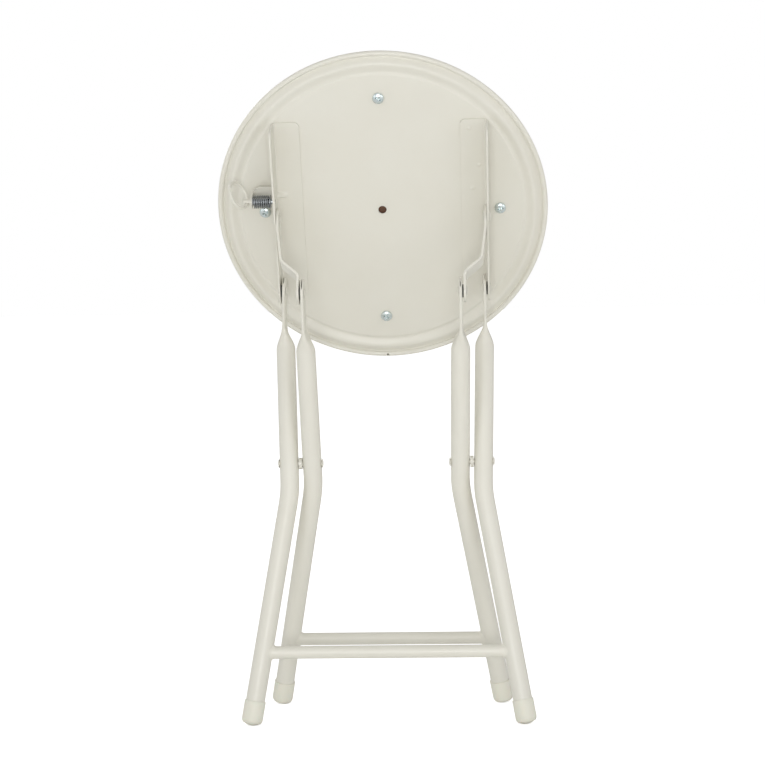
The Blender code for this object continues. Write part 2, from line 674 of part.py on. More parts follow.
def cushion_side(inset):
    """Cushion from its lower edge over its widest point to the crown, moved in by inset."""
    crown = CUSHION_EDGE - CUSHION_HEIGHT + inset
    widest = CUSHION_EDGE - CUSHION_EDGE_RISE
    points = [(CUSHION_R - CUSHION_TUCK - inset, CUSHION_EDGE),
              (CUSHION_R - 0.3 * CUSHION_TUCK - inset, CUSHION_EDGE - 0.4 * CUSHION_EDGE_RISE),
              (CUSHION_R - inset, widest)]
    shoulder_drop = 0.72 * (widest - crown)
    for k in range(1, CUSHION_STEPS + 1):
        angle = math.pi / 2 * k / CUSHION_STEPS
        points.append((CUSHION_R - inset - CUSHION_SHOULDER * (1 - math.cos(angle)),
                       widest - shoulder_drop * math.sin(angle)))
    start_r, start_h = points[-1]
    for k in range(1, EASE_STEPS + 1):
        share = k / EASE_STEPS
        points.append((start_r * (1 - share), start_h + (crown - start_h) * math.sin(share * math.pi / 2)))
    return points


def make_cushion(seat):
    """Vinyl cover drawn over a crowned foam pad and down the edge of the board."""
    outside = cushion_side(0.0)
    inside = cushion_side(COVER_THICKNESS)
    cover = add_object("seat_cover", profile_mesh("seat_cover", list(reversed(inside)) + outside, False),
                       seat, "cream_vinyl")
    turn(cover, CUSHION_SIDES)
    foam_side = [point for point in cushion_side(COVER_THICKNESS + GAP) if point[1] < BOARD_FAR - GAP]
    foam_profile = [(0, BOARD_FAR - GAP), (foam_side[0][0], BOARD_FAR - GAP)] + foam_side
    foam = add_object("seat_foam", profile_mesh("seat_foam", foam_profile, False), seat, "foam")
    turn(foam, CUSHION_SIDES)


def rail_stations():
    """Places along the rail with the distance to its nearer end."""
    stations = []
    for k in range(RAIL_CORNER_STEPS + 1):
        share = 1 - math.cos(math.pi / 2 * k / RAIL_CORNER_STEPS)
        stations.append(RAIL_WALL_CORNER_R * share)
    ends = [(RAIL_BOTTOM + step, step) for step in stations]
    return ends + [(RAIL_TOP - step, step) for step in reversed(stations)]


def corner_cut(radius, step):
    """How far a rounded corner draws an edge back at a distance from the end."""
    away = max(radius - step, 0.0)
    return radius - math.sqrt(radius ** 2 - away ** 2)


def rail_mesh(side):
    """Open L-shaped surface along the middle of the sheet; Solidify gives it its thickness."""
    bm = bmesh.new()
    middle_h = GAP + RAIL_SHEET / 2
    middle_x = RAIL_OUTER_X - RAIL_SHEET / 2
    rows = []
    for s, step in rail_stations():
        base_edge_x = RAIL_OUTER_X - RAIL_BASE_WIDTH + corner_cut(RAIL_BASE_CORNER_R, step)
        row = [(base_edge_x, middle_h)]
        for k in range(EASE_STEPS + 1):
            angle = math.pi / 2 * k / EASE_STEPS
            row.append((middle_x - RAIL_BEND_R * (1 - math.sin(angle)),
                        middle_h + RAIL_BEND_R * (1 - math.cos(angle))))
        row.append((middle_x, RAIL_HEIGHT - corner_cut(RAIL_WALL_CORNER_R, step)))
        rows.append([bm.verts.new((side * x, s, h)) for x, h in row])
    for near, far in zip(rows, rows[1:]):
        for index in range(len(near) - 1):
            quad = (near[index], near[index + 1], far[index + 1], far[index])
            bm.faces.new(quad if side > 0 else tuple(reversed(quad)))
    mesh = mesh_from_bmesh("rail", bm)
    soften(mesh)
    return mesh


def rail_dart(seat, side):
    """Round ridge across the rail's inner corner, near the lock pin."""
    base = Vector((RAIL_INNER_X - DART_REACH, 0, GAP + DART_R))
    wall = Vector((RAIL_OUTER_X - DART_R, 0, GAP + RAIL_SHEET + DART_RISE))
    run = wall - base
    mesh = cylinder_mesh("rail_dart", DART_R, -run.length / 2, run.length / 2, 24)
    middle = (base + wall) / 2
    return add_cutter("rail_dart", mesh, seat, (side * middle.x, PIN_S - DART_BELOW_PIN, middle.z),
                      (0, side * math.atan2(run.x, run.z), 0))


def make_rails(seat):
    for name, side in SIDES:
        rail = add_object(f"rail_{name}", rail_mesh(side), seat, "cream_paint")
        wall = rail.modifiers.new("Sheet", "SOLIDIFY")
        wall.thickness = RAIL_SHEET
        wall.offset = 0.0
        wall.use_even_offset = True
        for label, s in (("seat", -SEAT_PIVOT_DROP), ("link", LINK_PIVOT_S)):
            boolean(rail, across_hole(seat, f"rail_{label}_hole_{name}", HOLE_R,
                                      RAIL_INNER_X - RAIL_SHEET, RAIL_OUTER_X + RAIL_SHEET, side,
                                      y=s, z=SEAT_PIVOT_HEIGHT))
        if side < 0:
            boolean(rail, rail_dart(seat, side), "UNION")
            boolean(rail, across_hole(seat, "rail_pin_hole", PIN_NOSE_R + PIN_GAP,
                                      RAIL_INNER_X - RAIL_SHEET, RAIL_OUTER_X + RAIL_SHEET, side,
                                      y=PIN_S, z=SEAT_PIVOT_HEIGHT))


def link_rows():
    """Half width and distance across the stool at stations from the upper to the lower end."""
    rows = []
    for k in range(LINK_END_STEPS, 0, -1):
        angle = math.radians(82.0) * k / LINK_END_STEPS
        rows.append((-LINK_HALF_WIDTH * math.sin(angle), LINK_UPPER_X,
                     LINK_HALF_WIDTH * math.cos(angle)))
    rows.append((0.0, LINK_UPPER_X, LINK_HALF_WIDTH))
    rows.append((LINK_STRAIGHT, LINK_UPPER_X, LINK_HALF_WIDTH))
    rows.append((LINK_NECK, LINK_UPPER_X - LINK_NECK_IN, LINK_HALF_WIDTH))
    rows.append((LINK_JOGGLE_END, LINK_LOWER_X, LINK_HALF_WIDTH))
    rows.append((LINK_PITCH, LINK_LOWER_X, LINK_HALF_WIDTH))
    for k in range(1, LINK_END_STEPS + 1):
        angle = math.radians(82.0) * k / LINK_END_STEPS
        rows.append((LINK_PITCH + LINK_HALF_WIDTH * math.sin(angle), LINK_LOWER_X,
                     LINK_HALF_WIDTH * math.cos(angle)))
    return rows


def link_mesh(side):
    """Open strip along the middle of the sheet, joggled inwards; Solidify thickens it."""
    bm = bmesh.new()
    rows = [[bm.verts.new((side * x, -half, -t)), bm.verts.new((side * x, half, -t))]
            for t, x, half in link_rows()]
    for near, far in zip(rows, rows[1:]):
        quad = (near[0], near[1], far[1], far[0])
        bm.faces.new(quad if side > 0 else tuple(reversed(quad)))
    return mesh_from_bmesh("link", bm)


def make_links(link_hinge, seat_hinge):
    """Links on their upper pivots, each with the outer half of its lower rivet."""
    seat_pivot_offset = (LINK_PITCH, 0)
    upper_profile = rivet_profile(RAIL_OUTER_X + GAP, RIVET_HEAD_R, RIVET_HEAD_HEIGHT,
                                  LINK_UPPER_X - LINK_SHEET / 2 - GAP, RIVET_TAIL_R,
                                  RIVET_TAIL_HEIGHT)
    link_far = LINK_LOWER_X + LINK_SHEET / 2
    link_near = LINK_LOWER_X - LINK_SHEET / 2
    tab_far = INNER.tab_x + TAB_HALF_THICKNESS
    lower_profile = rivet_profile(link_far + GAP, RIVET_HEAD_R, LOW_HEAD_HEIGHT,
                                  tab_far + GAP, RIVET_TAIL_R, 0)
    for name, side in SIDES:
        link = add_object(f"link_{name}", link_mesh(side), link_hinge, "cream_paint")
        wall = link.modifiers.new("Sheet", "SOLIDIFY")
        wall.thickness = LINK_SHEET
        wall.offset = 0.0
        wall.use_even_offset = True
        for label, t in (("upper", 0.0), ("lower", LINK_PITCH)):
            boolean(link, across_hole(link_hinge, f"link_{label}_hole_{name}", HOLE_R,
                                      LINK_LOWER_X - TUBE_R, LINK_UPPER_X + TUBE_R, side, z=-t))
        if side < 0:
            boolean(link, across_hole(link_hinge, "link_lock_hole", PIN_NOSE_R + PIN_GAP,
                                      LINK_LOWER_X - TUBE_R, LINK_UPPER_X + TUBE_R, side,
                                      z=-PIN_ABOVE_LINK_PIVOT))
        make_rivet(f"link_rivet_{name}", seat_hinge, side, upper_profile,
                   y=seat_pivot_offset[0], z=seat_pivot_offset[1])
        make_rivet(f"knee_rivet_{name}", link_hinge, side, lower_profile, z=-LINK_PITCH)
        make_ring_piece(f"knee_washer_{name}", link_hinge, side, WASHER_R, tab_far + GAP,
                        link_near - GAP, "zinc", z=-LINK_PITCH)


def make_knee_tails(inner_hinge):
    """Inner half of each lower link rivet: a plug in the inner tab with its formed tail."""
    tab_far = INNER.tab_x + TAB_HALF_THICKNESS
    tail_face = INNER.tab_x - TAB_HALF_THICKNESS - GAP
    profile = [(0, tab_far), (RIVET_R, tab_far), (RIVET_R, tail_face), (RIVET_TAIL_R, tail_face),
               (RIVET_TAIL_R * 0.85, tail_face - RIVET_TAIL_HEIGHT * 0.5),
               (RIVET_TAIL_R * 0.5, tail_face - RIVET_TAIL_HEIGHT * 0.9),
               (0, tail_face - RIVET_TAIL_HEIGHT)]
    for name, side in SIDES:
        make_rivet(f"knee_tail_{name}", inner_hinge, side, profile, z=UPPER_REACH)


def make_lock_bracket(pin_axis):
    """Web off the rail with an ear that guides the pin's outer end."""
    web = add_object("lock_bracket", box_mesh(
        "lock_bracket", (-LOCK_EAR_OUTER_X, -LOCK_WEB_LOW, -LOCK_WEB_DROP - LOCK_SHEET),
        (-RAIL_OUTER_X - GAP, LOCK_WEB_HIGH, -LOCK_WEB_DROP)), pin_axis, "cream_paint")
    blade = add_cutter("lock_ear_blade", box_mesh(
        "lock_ear_blade", (-LOCK_EAR_OUTER_X, -LOCK_EAR_HALF_WIDTH, -LOCK_WEB_DROP - LOCK_SHEET / 2),
        (-LOCK_EAR_X, LOCK_EAR_HALF_WIDTH, 0)), pin_axis)
    crown = add_cutter("lock_ear_crown", cylinder_mesh(
        "lock_ear_crown", LOCK_EAR_HALF_WIDTH, LOCK_EAR_X, LOCK_EAR_OUTER_X, 32), pin_axis,
        (0, 0, 0), outward(-1))
    boolean(web, blade, "UNION")
    boolean(web, crown, "UNION")
    hole = across_hole(pin_axis, "lock_ear_hole", PIN_ROD_R + PIN_GAP, LOCK_EAR_X - LOCK_SHEET,
                       LOCK_EAR_OUTER_X + LOCK_SHEET, -1)
    boolean(web, hole)


def ring_directions():
    """Unit vectors along the ring's hole and from the hole to the ring's centre."""
    hole = Vector((0, math.cos(RING_ROLL), math.sin(RING_ROLL)))
    side = Vector((0, -math.sin(RING_ROLL), math.cos(RING_ROLL)))
    centre = Vector((-math.cos(RING_TILT), 0, 0)) + side * math.sin(RING_TILT)
    return hole, centre


def make_pin(pin_axis):
    """Pin with nose, spring collar and rod, drilled near its end for the ring."""
    nose_face = RAIL_INNER_X
    profile = [(0, PIN_END_X), (0.7 * PIN_ROD_R, PIN_END_X),
               (PIN_ROD_R, PIN_END_X - 0.3 * PIN_ROD_R),
               (PIN_ROD_R, COLLAR_X + PIN_COLLAR_THICKNESS),
               (PIN_COLLAR_R, COLLAR_X + PIN_COLLAR_THICKNESS), (PIN_COLLAR_R, COLLAR_X),
               (PIN_NOSE_R, COLLAR_X), (PIN_NOSE_R, nose_face), (0, nose_face)]
    pin = add_object("lock_pin", profile_mesh("lock_pin", profile, False), pin_axis, "spring_steel",
                     (0, 0, 0), outward(-1))
    turn(pin, WASHER_SIDES)
    hole, _ = ring_directions()
    facing = hole.to_track_quat("Z", "Y").to_euler()
    bore = cylinder_mesh("ring_hole", RING_HOLE_R, -2 * PIN_ROD_R, 2 * PIN_ROD_R, 16)
    boolean(pin, add_cutter("ring_hole", bore, pin_axis, (-RING_HOLE_X, 0, 0), facing))


def make_ring(pin_axis):
    hole, centre = ring_directions()
    normal = hole.cross(centre)
    basis = Matrix((hole, centre, normal)).transposed()
    bpy.ops.mesh.primitive_torus_add(major_segments=26, minor_segments=8, major_radius=RING_R,
                                     minor_radius=RING_WIRE_R)
    ring = bpy.context.active_object
    for collection in list(ring.users_collection):
        collection.objects.unlink(ring)
    PARTS.objects.link(ring)
    ring.name = "lock_ring"
    ring.data.materials.append(MATERIALS["cream_paint"])
    ring.parent = pin_axis
    ring.location = Vector((-RING_HOLE_X, 0, 0)) + centre * RING_R
    ring.rotation_euler = basis.to_euler()
    ring.data.shade_smooth()


def spring_points():
    """Middle of the wire along the pin's axis: straight ends, then even turns between them."""
    start = COLLAR_X + PIN_COLLAR_THICKNESS + GAP
    end = LOCK_EAR_X - GAP
    lead = 2 * SPRING_WIRE_R
    low = start + lead
    high = end - lead
    count = math.floor((high - low) / SPRING_PITCH) * SPRING_POINTS
    points = [Vector((-start, SPRING_R, 0))]
    for k in range(count + 1):
        angle = math.tau * k / SPRING_POINTS
        along = low + (high - low) * k / count
        points.append(Vector((-along, SPRING_R * math.cos(angle), SPRING_R * math.sin(angle))))
    points.append(Vector((-end, points[-1].y, points[-1].z)))
    return points


def measure_turn_gap(points):
    """Least clear distance between points of the wire more than half a turn apart."""
    apart = SPRING_POINTS // 2 + 1
    least = min((first - second).length for i, first in enumerate(points)
                for second in points[i + apart:])
    return least - 2 * SPRING_WIRE_R


def make_spring(pin_axis):
    points = spring_points()
    gap = measure_turn_gap(points)
    print(f"lock_spring: least gap between turns {gap / MM:.2f} mm, wanted over {MIN_TURN_GAP / MM:.2f} mm")
    curve = bpy.data.curves.new("lock_spring", "CURVE")
    curve.dimensions = "3D"
    curve.bevel_depth = SPRING_WIRE_R
    curve.bevel_resolution = 1
    curve.use_fill_caps = True
    spline = curve.splines.new("POLY")
    spline.points.add(len(points) - 1)
    for target, point in zip(spline.points, points):
        target.co = (*point, 1)
    curve.materials.append(MATERIALS["spring_steel"])
    spring = bpy.data.objects.new("lock_spring", curve)
    PARTS.objects.link(spring)
    spring.parent = pin_axis


def world_corners(objects):
    """Lowest and highest corner of all the evaluated meshes."""
    bpy.context.view_layer.update()
    depsgraph = bpy.context.evaluated_depsgraph_get()
    low = Vector((math.inf,) * 3)
    high = Vector((-math.inf,) * 3)
    for obj in objects:
        evaluated = obj.evaluated_get(depsgraph)
        mesh = evaluated.to_mesh()
        for vertex in mesh.vertices:
            place = evaluated.matrix_world @ vertex.co
            low = Vector(map(min, low, place))
            high = Vector(map(max, high, place))
        evaluated.to_mesh_clear()
    return low, high


def crossing_height():
    """Height of the crossing pivot that sets the worn flats of the feet on the floor."""
    tilt = math.cos(HALF_FOLD) * math.cos(OUTER.splay)
    return (LOWER_REACH * math.cos(HALF_FOLD) + CAP_DOME_R * (1 - tilt) - CAP_FLAT_DEPTH)


def report_joints(base_y):
    """Prints where the pivots are, and the ratios at which the frames and links follow the seat."""
    open_half = math.asin(LINK_PITCH / UPPER_REACH)
    seat_turn = (math.pi - (LINK_HALF_FOLD + HALF_FOLD)) - (math.pi - (math.pi / 2 + open_half))
    frame_turn = 2 * (open_half - HALF_FOLD)
    link_turn = math.pi - 2 * LINK_HALF_FOLD
    crossing = Vector((0, base_y, crossing_height()))
    seat_pivot = crossing + UPPER_REACH * Vector((0, math.sin(HALF_FOLD), math.cos(HALF_FOLD)))
    link_pivot = seat_pivot + LINK_PITCH * Vector((0, -math.sin(SEAT_LEAN), math.cos(SEAT_LEAN)))
    for label, place in (("crossing", crossing), ("seat pivot", seat_pivot), ("link pivot", link_pivot)):
        print(f"{label}: {place.x:.6f} {place.y:.6f} {place.z:.6f}")
    print(f"seat turns {math.degrees(seat_turn):.4f} degrees from here to open")
    print(f"inner frame ratio {frame_turn / seat_turn:.6f}, link ratio {-link_turn / seat_turn:.6f}")


def build():
    base = empty("stool_base", None)
    crossing = (0, 0, crossing_height())
    outer = empty("outer_frame_axis", base, crossing, -HALF_FOLD)
    inner = empty("inner_frame_axis", base, crossing, HALF_FOLD)
    floor = add_cutter("floor", box_mesh("floor", (-1, -1, -1), (1, 1, 0)), None)
    make_frame(OUTER, outer, floor)
    make_frame(INNER, inner, floor)
    make_crossing(outer)
    make_knee_tails(inner)

    seat_pivot = Vector(crossing) + UPPER_REACH * Vector((0, math.sin(HALF_FOLD), math.cos(HALF_FOLD)))
    link_pivot = seat_pivot + LINK_PITCH * Vector((0, -math.sin(SEAT_LEAN), math.cos(SEAT_LEAN)))
    seat_hinge = empty("seat_axis", base, seat_pivot, math.pi / 2 + SEAT_LEAN)
    seat = empty("seat_underside", seat_hinge, (0, SEAT_PIVOT_DROP, -SEAT_PIVOT_HEIGHT))
    link_hinge = empty("link_axis", base, link_pivot, -SEAT_LEAN)
    pin_axis = empty("lock_pin_axis", seat, (0, PIN_S, SEAT_PIVOT_HEIGHT))
    make_seat_pivots(seat_hinge)
    make_pan_and_board(seat)
    make_screws(seat)
    make_cushion(seat)
    make_rails(seat)
    make_links(link_hinge, seat_hinge)
    make_lock_bracket(pin_axis)
    make_pin(pin_axis)
    make_ring(pin_axis)
    make_spring(pin_axis)

    solids = [obj for obj in PARTS.objects if obj.type in {"MESH", "CURVE"}]
    low, high = world_corners(solids)
    base.location.y = -(low.y + high.y) / 2
    bpy.context.view_layer.update()
    report_joints(base.location.y)


clear_scene()
PARTS = make_collection("folding_stool")
CUTTERS = make_collection("cutters")
MATERIALS = make_materials()
build()
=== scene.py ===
"""Folding stool: the fine surfaces, finishes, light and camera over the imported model.

Each operator makes one piece, or one group of like pieces, where the model's own piece stands.
Lengths are in metres. Distances across the stool are measured outwards from its middle plane.
"""

import json
import math

import bmesh
import bpy
from bpy.props import FloatProperty, FloatVectorProperty, IntProperty, PointerProperty
from mathutils import Matrix, Vector


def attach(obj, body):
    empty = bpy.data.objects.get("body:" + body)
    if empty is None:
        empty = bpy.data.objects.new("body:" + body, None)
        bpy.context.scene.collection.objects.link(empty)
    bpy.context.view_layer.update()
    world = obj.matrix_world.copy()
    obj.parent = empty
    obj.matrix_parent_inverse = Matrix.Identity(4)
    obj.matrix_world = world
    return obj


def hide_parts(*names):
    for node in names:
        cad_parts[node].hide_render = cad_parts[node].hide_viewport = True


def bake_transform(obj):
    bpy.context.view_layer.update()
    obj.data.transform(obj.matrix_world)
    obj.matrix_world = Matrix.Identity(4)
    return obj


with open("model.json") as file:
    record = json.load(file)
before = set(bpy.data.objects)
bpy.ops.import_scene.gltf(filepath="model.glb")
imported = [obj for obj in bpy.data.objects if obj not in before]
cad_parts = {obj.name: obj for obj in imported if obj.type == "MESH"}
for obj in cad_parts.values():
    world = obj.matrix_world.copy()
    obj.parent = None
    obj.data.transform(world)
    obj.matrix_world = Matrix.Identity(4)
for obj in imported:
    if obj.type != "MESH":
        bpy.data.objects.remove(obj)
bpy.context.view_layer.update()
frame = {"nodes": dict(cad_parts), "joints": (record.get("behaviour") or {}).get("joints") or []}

bl_info = {
    "name": "Folding Stool",
    "version": (1, 0, 0),
    "blender": (4, 5, 0),
    "location": "3D View > Sidebar > Stool",
    "description": "Dresses a round folding stool: enamelled tube frame, pressed pan, padded seat",
    "category": "Add Mesh",
}

MM = 0.001
GAP = 0.3 * MM
SIDES = (("right", 1), ("left", -1))

# Sizes of the folding mechanism, as in the model
UPPER_REACH = 174.35 * MM   # crossing pivot to a frame's top pivot
LOWER_REACH = 259.3 * MM    # crossing pivot to a frame's foot
LINK_PITCH = 78.8 * MM
SEAT_PIVOT_DROP = 77.7 * MM
SEAT_PIVOT_HEIGHT = 22.2 * MM
PIN_ABOVE_LINK_PIVOT = 19.2 * MM
PINCH_TOP = 34.4 * MM       # the flattened part begins this far below the top pivot
PINCH_LENGTH = 25.0 * MM
FOOT_FLOOR = 5.3 * MM       # a tube ends this far above its cap's tip

# Distances across the stool
RAIL_OUTER = 106.0 * MM
RAIL_INNER = 104.2 * MM
OUTER_TAB = 101.0 * MM
INNER_TAB = 77.3 * MM
LINK_UPPER = 102.6 * MM
LINK_LOWER = 81.6 * MM
RIVET_R = 3.0 * MM

# Places of the stool's pivots, from the model's joints
PIVOTS = {joint["name"]: Vector(joint["pos_m"]) for joint in frame["joints"] if "pos_m" in joint}
CROSSING = PIVOTS["frame_spread"]
SEAT_PIVOT = PIVOTS["seat_fold"]
LINK_PIVOT = PIVOTS["left_link_swing"]


def hinge_frame(place, turn_x):
    return Matrix.Translation(place) @ Matrix.Rotation(turn_x, 4, "X")


HALF_FOLD = math.atan2(SEAT_PIVOT.y - CROSSING.y, SEAT_PIVOT.z - CROSSING.z)
SEAT_LEAN = math.atan2(SEAT_PIVOT.y - LINK_PIVOT.y, LINK_PIVOT.z - SEAT_PIVOT.z)
OUTER_AXIS = hinge_frame(CROSSING, -HALF_FOLD)
INNER_AXIS = hinge_frame(CROSSING, HALF_FOLD)
LINK_AXIS = hinge_frame(LINK_PIVOT, -SEAT_LEAN)
SEAT_AXIS = hinge_frame(SEAT_PIVOT, math.pi / 2 + SEAT_LEAN)
SEAT = SEAT_AXIS @ Matrix.Translation((0, SEAT_PIVOT_DROP, -SEAT_PIVOT_HEIGHT))
PIN_S = LINK_PITCH - SEAT_PIVOT_DROP + PIN_ABOVE_LINK_PIVOT
PIN_AXIS = SEAT @ Matrix.Translation((0, PIN_S, SEAT_PIVOT_HEIGHT))


def linear(hex_colour):
    """Turns an sRGB hex colour to linear light."""
    channels = [int(hex_colour[i:i + 2], 16) / 255 for i in (1, 3, 5)]
    return [c / 12.92 if c <= 0.04045 else ((c + 0.055) / 1.055) ** 2.4 for c in channels]


# ---------------------------------------------------------------------------------------------
# What a user may change


def length(name, millimetres, description):
    return FloatProperty(name=name, description=description, default=millimetres * MM, min=0.0,
                         precision=5, unit="LENGTH", subtype="DISTANCE")


def colour(name, hex_colour, description):
    return FloatVectorProperty(name=name, description=description, default=linear(hex_colour),
                               min=0.0, max=1.0, size=3, subtype="COLOR")


class STOOL_PG_sizes(bpy.types.PropertyGroup):
    """Sizes of the pieces that a user may change."""
    tube_radius: length("Leg tube radius", 9.5, "Outside radius of the legs' tube")
    tab_half_width: length("Tab half width", 13.9, "Half the width of a leg's flattened top end")
    tab_half_thickness: length("Tab half thickness", 1.5, "Half the thickness of a flattened end")
    tab_slit: length("Tab slit", 1.0, "Opening between the walls at a flattened tube's end")
    bend_radius: length("Leg bend radius", 120.0, "Radius of the bend below the crossing")
    bar_radius: length("Crossbar radius", 6.35, "Outside radius of the crossbars' tube")
    weld_flare: length("Weld flare", 1.3, "How far a crossbar's weld spreads round its end")
    cap_length: length("Foot cap length", 24.5, "Length of the moulded caps on the tubes' ends")
    pan_radius: length("Pan radius", 165.0, "Radius of the seat pan over its rolled edge")
    pan_sheet: length("Pan sheet", 1.0, "Thickness of the pan's sheet steel")
    roll_radius: length("Rolled edge radius", 2.6, "Radius of the rolled edge's section")
    rail_sheet: length("Rail sheet", 1.8, "Thickness of the rails' sheet steel")
    rail_width: length("Rail width", 27.0, "Width of a rail's foot against the pan")
    rail_height: length("Rail height", 34.0, "Height of a rail's wall above the pan")
    link_sheet: length("Link sheet", 2.3, "Thickness of the links")
    link_half_width: length("Link half width", 11.0, "Half the width of a link")
    head_radius: length("Screw head radius", 5.7, "Radius of the seat screws' heads")
    head_height: length("Screw head height", 3.0, "Height of the seat screws' heads")
    ring_radius: length("Pull ring radius", 13.4, "Radius of the pull ring to its wire's middle")
    ring_wire: length("Pull ring wire", 1.5, "Radius of the pull ring's wire")
    coil_radius: length("Spring radius", 6.1, "Radius of the lock spring to its wire's middle")
    coil_wire: length("Spring wire", 0.6, "Radius of the lock spring's wire")
    coil_turns: FloatProperty(name="Spring turns", description="Number of turns of the spring",
                              default=9.0, min=2.0, max=20.0)
    screw_count: IntProperty(name="Seat screws", description="Screws that hold the board",
                             default=4, min=1, max=12)
    cushion_radius: length("Cushion radius", 161.0, "Radius of the padded top at its widest")
    cushion_height: length("Cushion height", 31.0, "Height of the padded top at its crown")
    puff: length("Cushion puff", 4.0, "Most that the padding may push the cover out")


class STOOL_PG_finishes(bpy.types.PropertyGroup):
    """Colours of the finishes that a user may change."""
    enamel: colour("Enamel", "#E2E0D6", "Baked enamel on the steel")
    enamel_deep: colour("Enamel, thick", "#DEDBCF", "The enamel where it lies a little thicker")
    cap: colour("Foot caps", "#DFDDD0", "Moulded foot caps")
    vinyl: colour("Vinyl", "#DDD9C9", "Vinyl seat cover")
    zinc: colour("Zinc plate", "#D6E3EA", "Bright plated screws")
    steel: colour("Spring steel", "#A9ADB0", "Lightly oiled steel of the spring and pin")
    # painted shade: the washers are drawn near black to stand in for the shade in the gaps beside
    # the tabs
    washer: colour("Washers", "#34383A", "Blackened washers at the pivots")
    board: colour("Board", "#6B4A36", "Face of the plywood board")
    paper: colour("Backdrop", "#F2F2F0", "Paper floor under the stool")


# ---------------------------------------------------------------------------------------------
# Nodes and finishes


def add_node(tree, kind, inputs=None, **settings):
    """Adds a node with its settings, values and links, and returns it. A value that is itself a
    node stands for that node's first output."""
    node = tree.nodes.new(kind)
    for name, value in settings.items():
        setattr(node, name, value)
    for socket, value in (inputs or {}).items():
        if isinstance(value, bpy.types.Node):
            value = value.outputs[0]
        if isinstance(value, bpy.types.NodeSocket):
            tree.links.new(value, node.inputs[socket])
        else:
            node.inputs[socket].default_value = value
    return node


def start_material(name, stretch=None, **noises):
    """An empty material, its place on the object, stretched if wanted, and its noises by name,
    each given as (scale per metre, detail)."""
    material = bpy.data.materials.new(name)
    material.use_nodes = True
    tree = material.node_tree
    tree.nodes.clear()
    place = add_node(tree, "ShaderNodeTexCoord").outputs["Object"]
    if stretch:
        place = add_node(tree, "ShaderNodeMapping", {"Vector": place, "Scale": stretch}).outputs[0]
    made = {key: add_node(tree, "ShaderNodeTexNoise", {"Vector": place, "Scale": scale,
                                                       "Detail": detail})
            for key, (scale, detail) in noises.items()}
    return material, place, made


def end_material(material, first, coats, rough, reliefs, values):
    """Gives a material its shader: a first colour with coats over it as (amount, colour), a
    roughness as (pattern, low, high), reliefs as (pattern, strength, distance), and values."""
    tree = material.node_tree
    base = (*first, 1)
    for amount, over in coats:
        base = add_node(tree, "ShaderNodeMix", {0: amount, 6: base, 7: (*over, 1)},
                        data_type="RGBA").outputs[2]
    pattern, low, high = rough
    roughness = add_node(tree, "ShaderNodeMapRange", {"Value": pattern, "To Min": low,
                                                      "To Max": high})
    relief = {}
    for pattern, strength, distance in reliefs:
        relief = {"Normal": add_node(tree, "ShaderNodeBump", {
            "Height": pattern, "Strength": strength, "Distance": distance, **relief})}
    shader = add_node(tree, "ShaderNodeBsdfPrincipled", {"Base Color": base,
                                                         "Roughness": roughness, **relief,
                                                         **values})
    add_node(tree, "ShaderNodeOutputMaterial", {"Surface": shader})
    return material


def shaded(of_colour, share):
    return [c * share for c in of_colour]


METAL = {"Metallic": 1.0}


def baked_enamel(finishes):
    """Stove enamel sprayed on steel: a satin gloss, a faint orange peel about 1.5 mm across, and
    painted shade that darkens the sharp edges a little, where the lamps light them brightly."""
    material, _, noise = start_material(
        "baked_enamel_on_steel",
        clouds=(22.0, 3.0),                          # drifts of the spray, about 45 mm
        gloss=(90.0, 3.0),                           # changes of gloss, about 11 mm
        peel=(650.0, 2.0),                           # orange peel, about 1.5 mm
        dust=(2600.0, 1.0))                          # nibs of dust under the coat, 0.4 mm
    tree = material.node_tree
    edge = add_node(tree, "ShaderNodeNewGeometry").outputs["Pointiness"]
    # painted shade: sharp edges, by their pointiness, are darkened to 0.88 of the enamel
    painted_edge_shade = add_node(tree, "ShaderNodeMapRange", {"Value": edge, "From Min": 0.52,
                                                 "From Max": 0.58, "To Max": 0.6})
    return end_material(material, finishes.enamel_deep,
                        [(noise["clouds"], finishes.enamel), (painted_edge_shade, shaded(finishes.enamel, 0.88))],
                        (noise["gloss"], 0.30, 0.40),
                        [(noise["peel"], 0.10, 0.0006), (noise["dust"], 0.03, 0.0002)],
                        {"IOR": 1.52})


def bright_zinc(finishes):
    """Bright zinc plate, blue passivated: a bluish metal with straw-coloured drifts and fine
    tumbling marks from the barrel."""
    material, _, noise = start_material(
        "bright_zinc_plate",
        drift=(260.0, 3.0),                          # colour drifts, about 4 mm
        marks=(1800.0, 4.0))                         # tumbling marks, about 0.5 mm
    straw = [c * k for c, k in zip(finishes.zinc, (1.05, 0.98, 0.86))]
    return end_material(material, finishes.zinc, [(noise["drift"], straw)],
                        (noise["marks"], 0.16, 0.32), [(noise["marks"], 0.15, 0.0001)], METAL)


def shade_black_steel(finishes):
    """Near-black dull steel, a little brighter in random patches: painted shade that stands in for
    the shade in the gaps beside the tabs.
    """
    material, _, noise = start_material(
        "black_oxide_steel",
        worn=(700.0, 3.0))                           # rubbed patches, about 1.5 mm
    return end_material(material, finishes.washer, [(noise["worn"], shaded(finishes.washer, 2.0))],
                        (noise["worn"], 0.5, 0.65), [(noise["worn"], 0.05, 0.0001)], METAL)


def oiled_steel(finishes):
    """Drawn spring steel under a film of oil: grey in darker patches, with a bright line along
    the wire and drawing marks."""
    material, _, noise = start_material(
        "oiled_spring_steel",
        film=(420.0, 3.0),                           # patches of oil, about 2.5 mm
        scratches=(2400.0, 3.0))                     # drawing marks, about 0.4 mm
    return end_material(material, shaded(finishes.steel, 0.6), [(noise["film"], finishes.steel)],
                        (noise["film"], 0.14, 0.24), [(noise["scratches"], 0.03, 0.0001)], METAL)


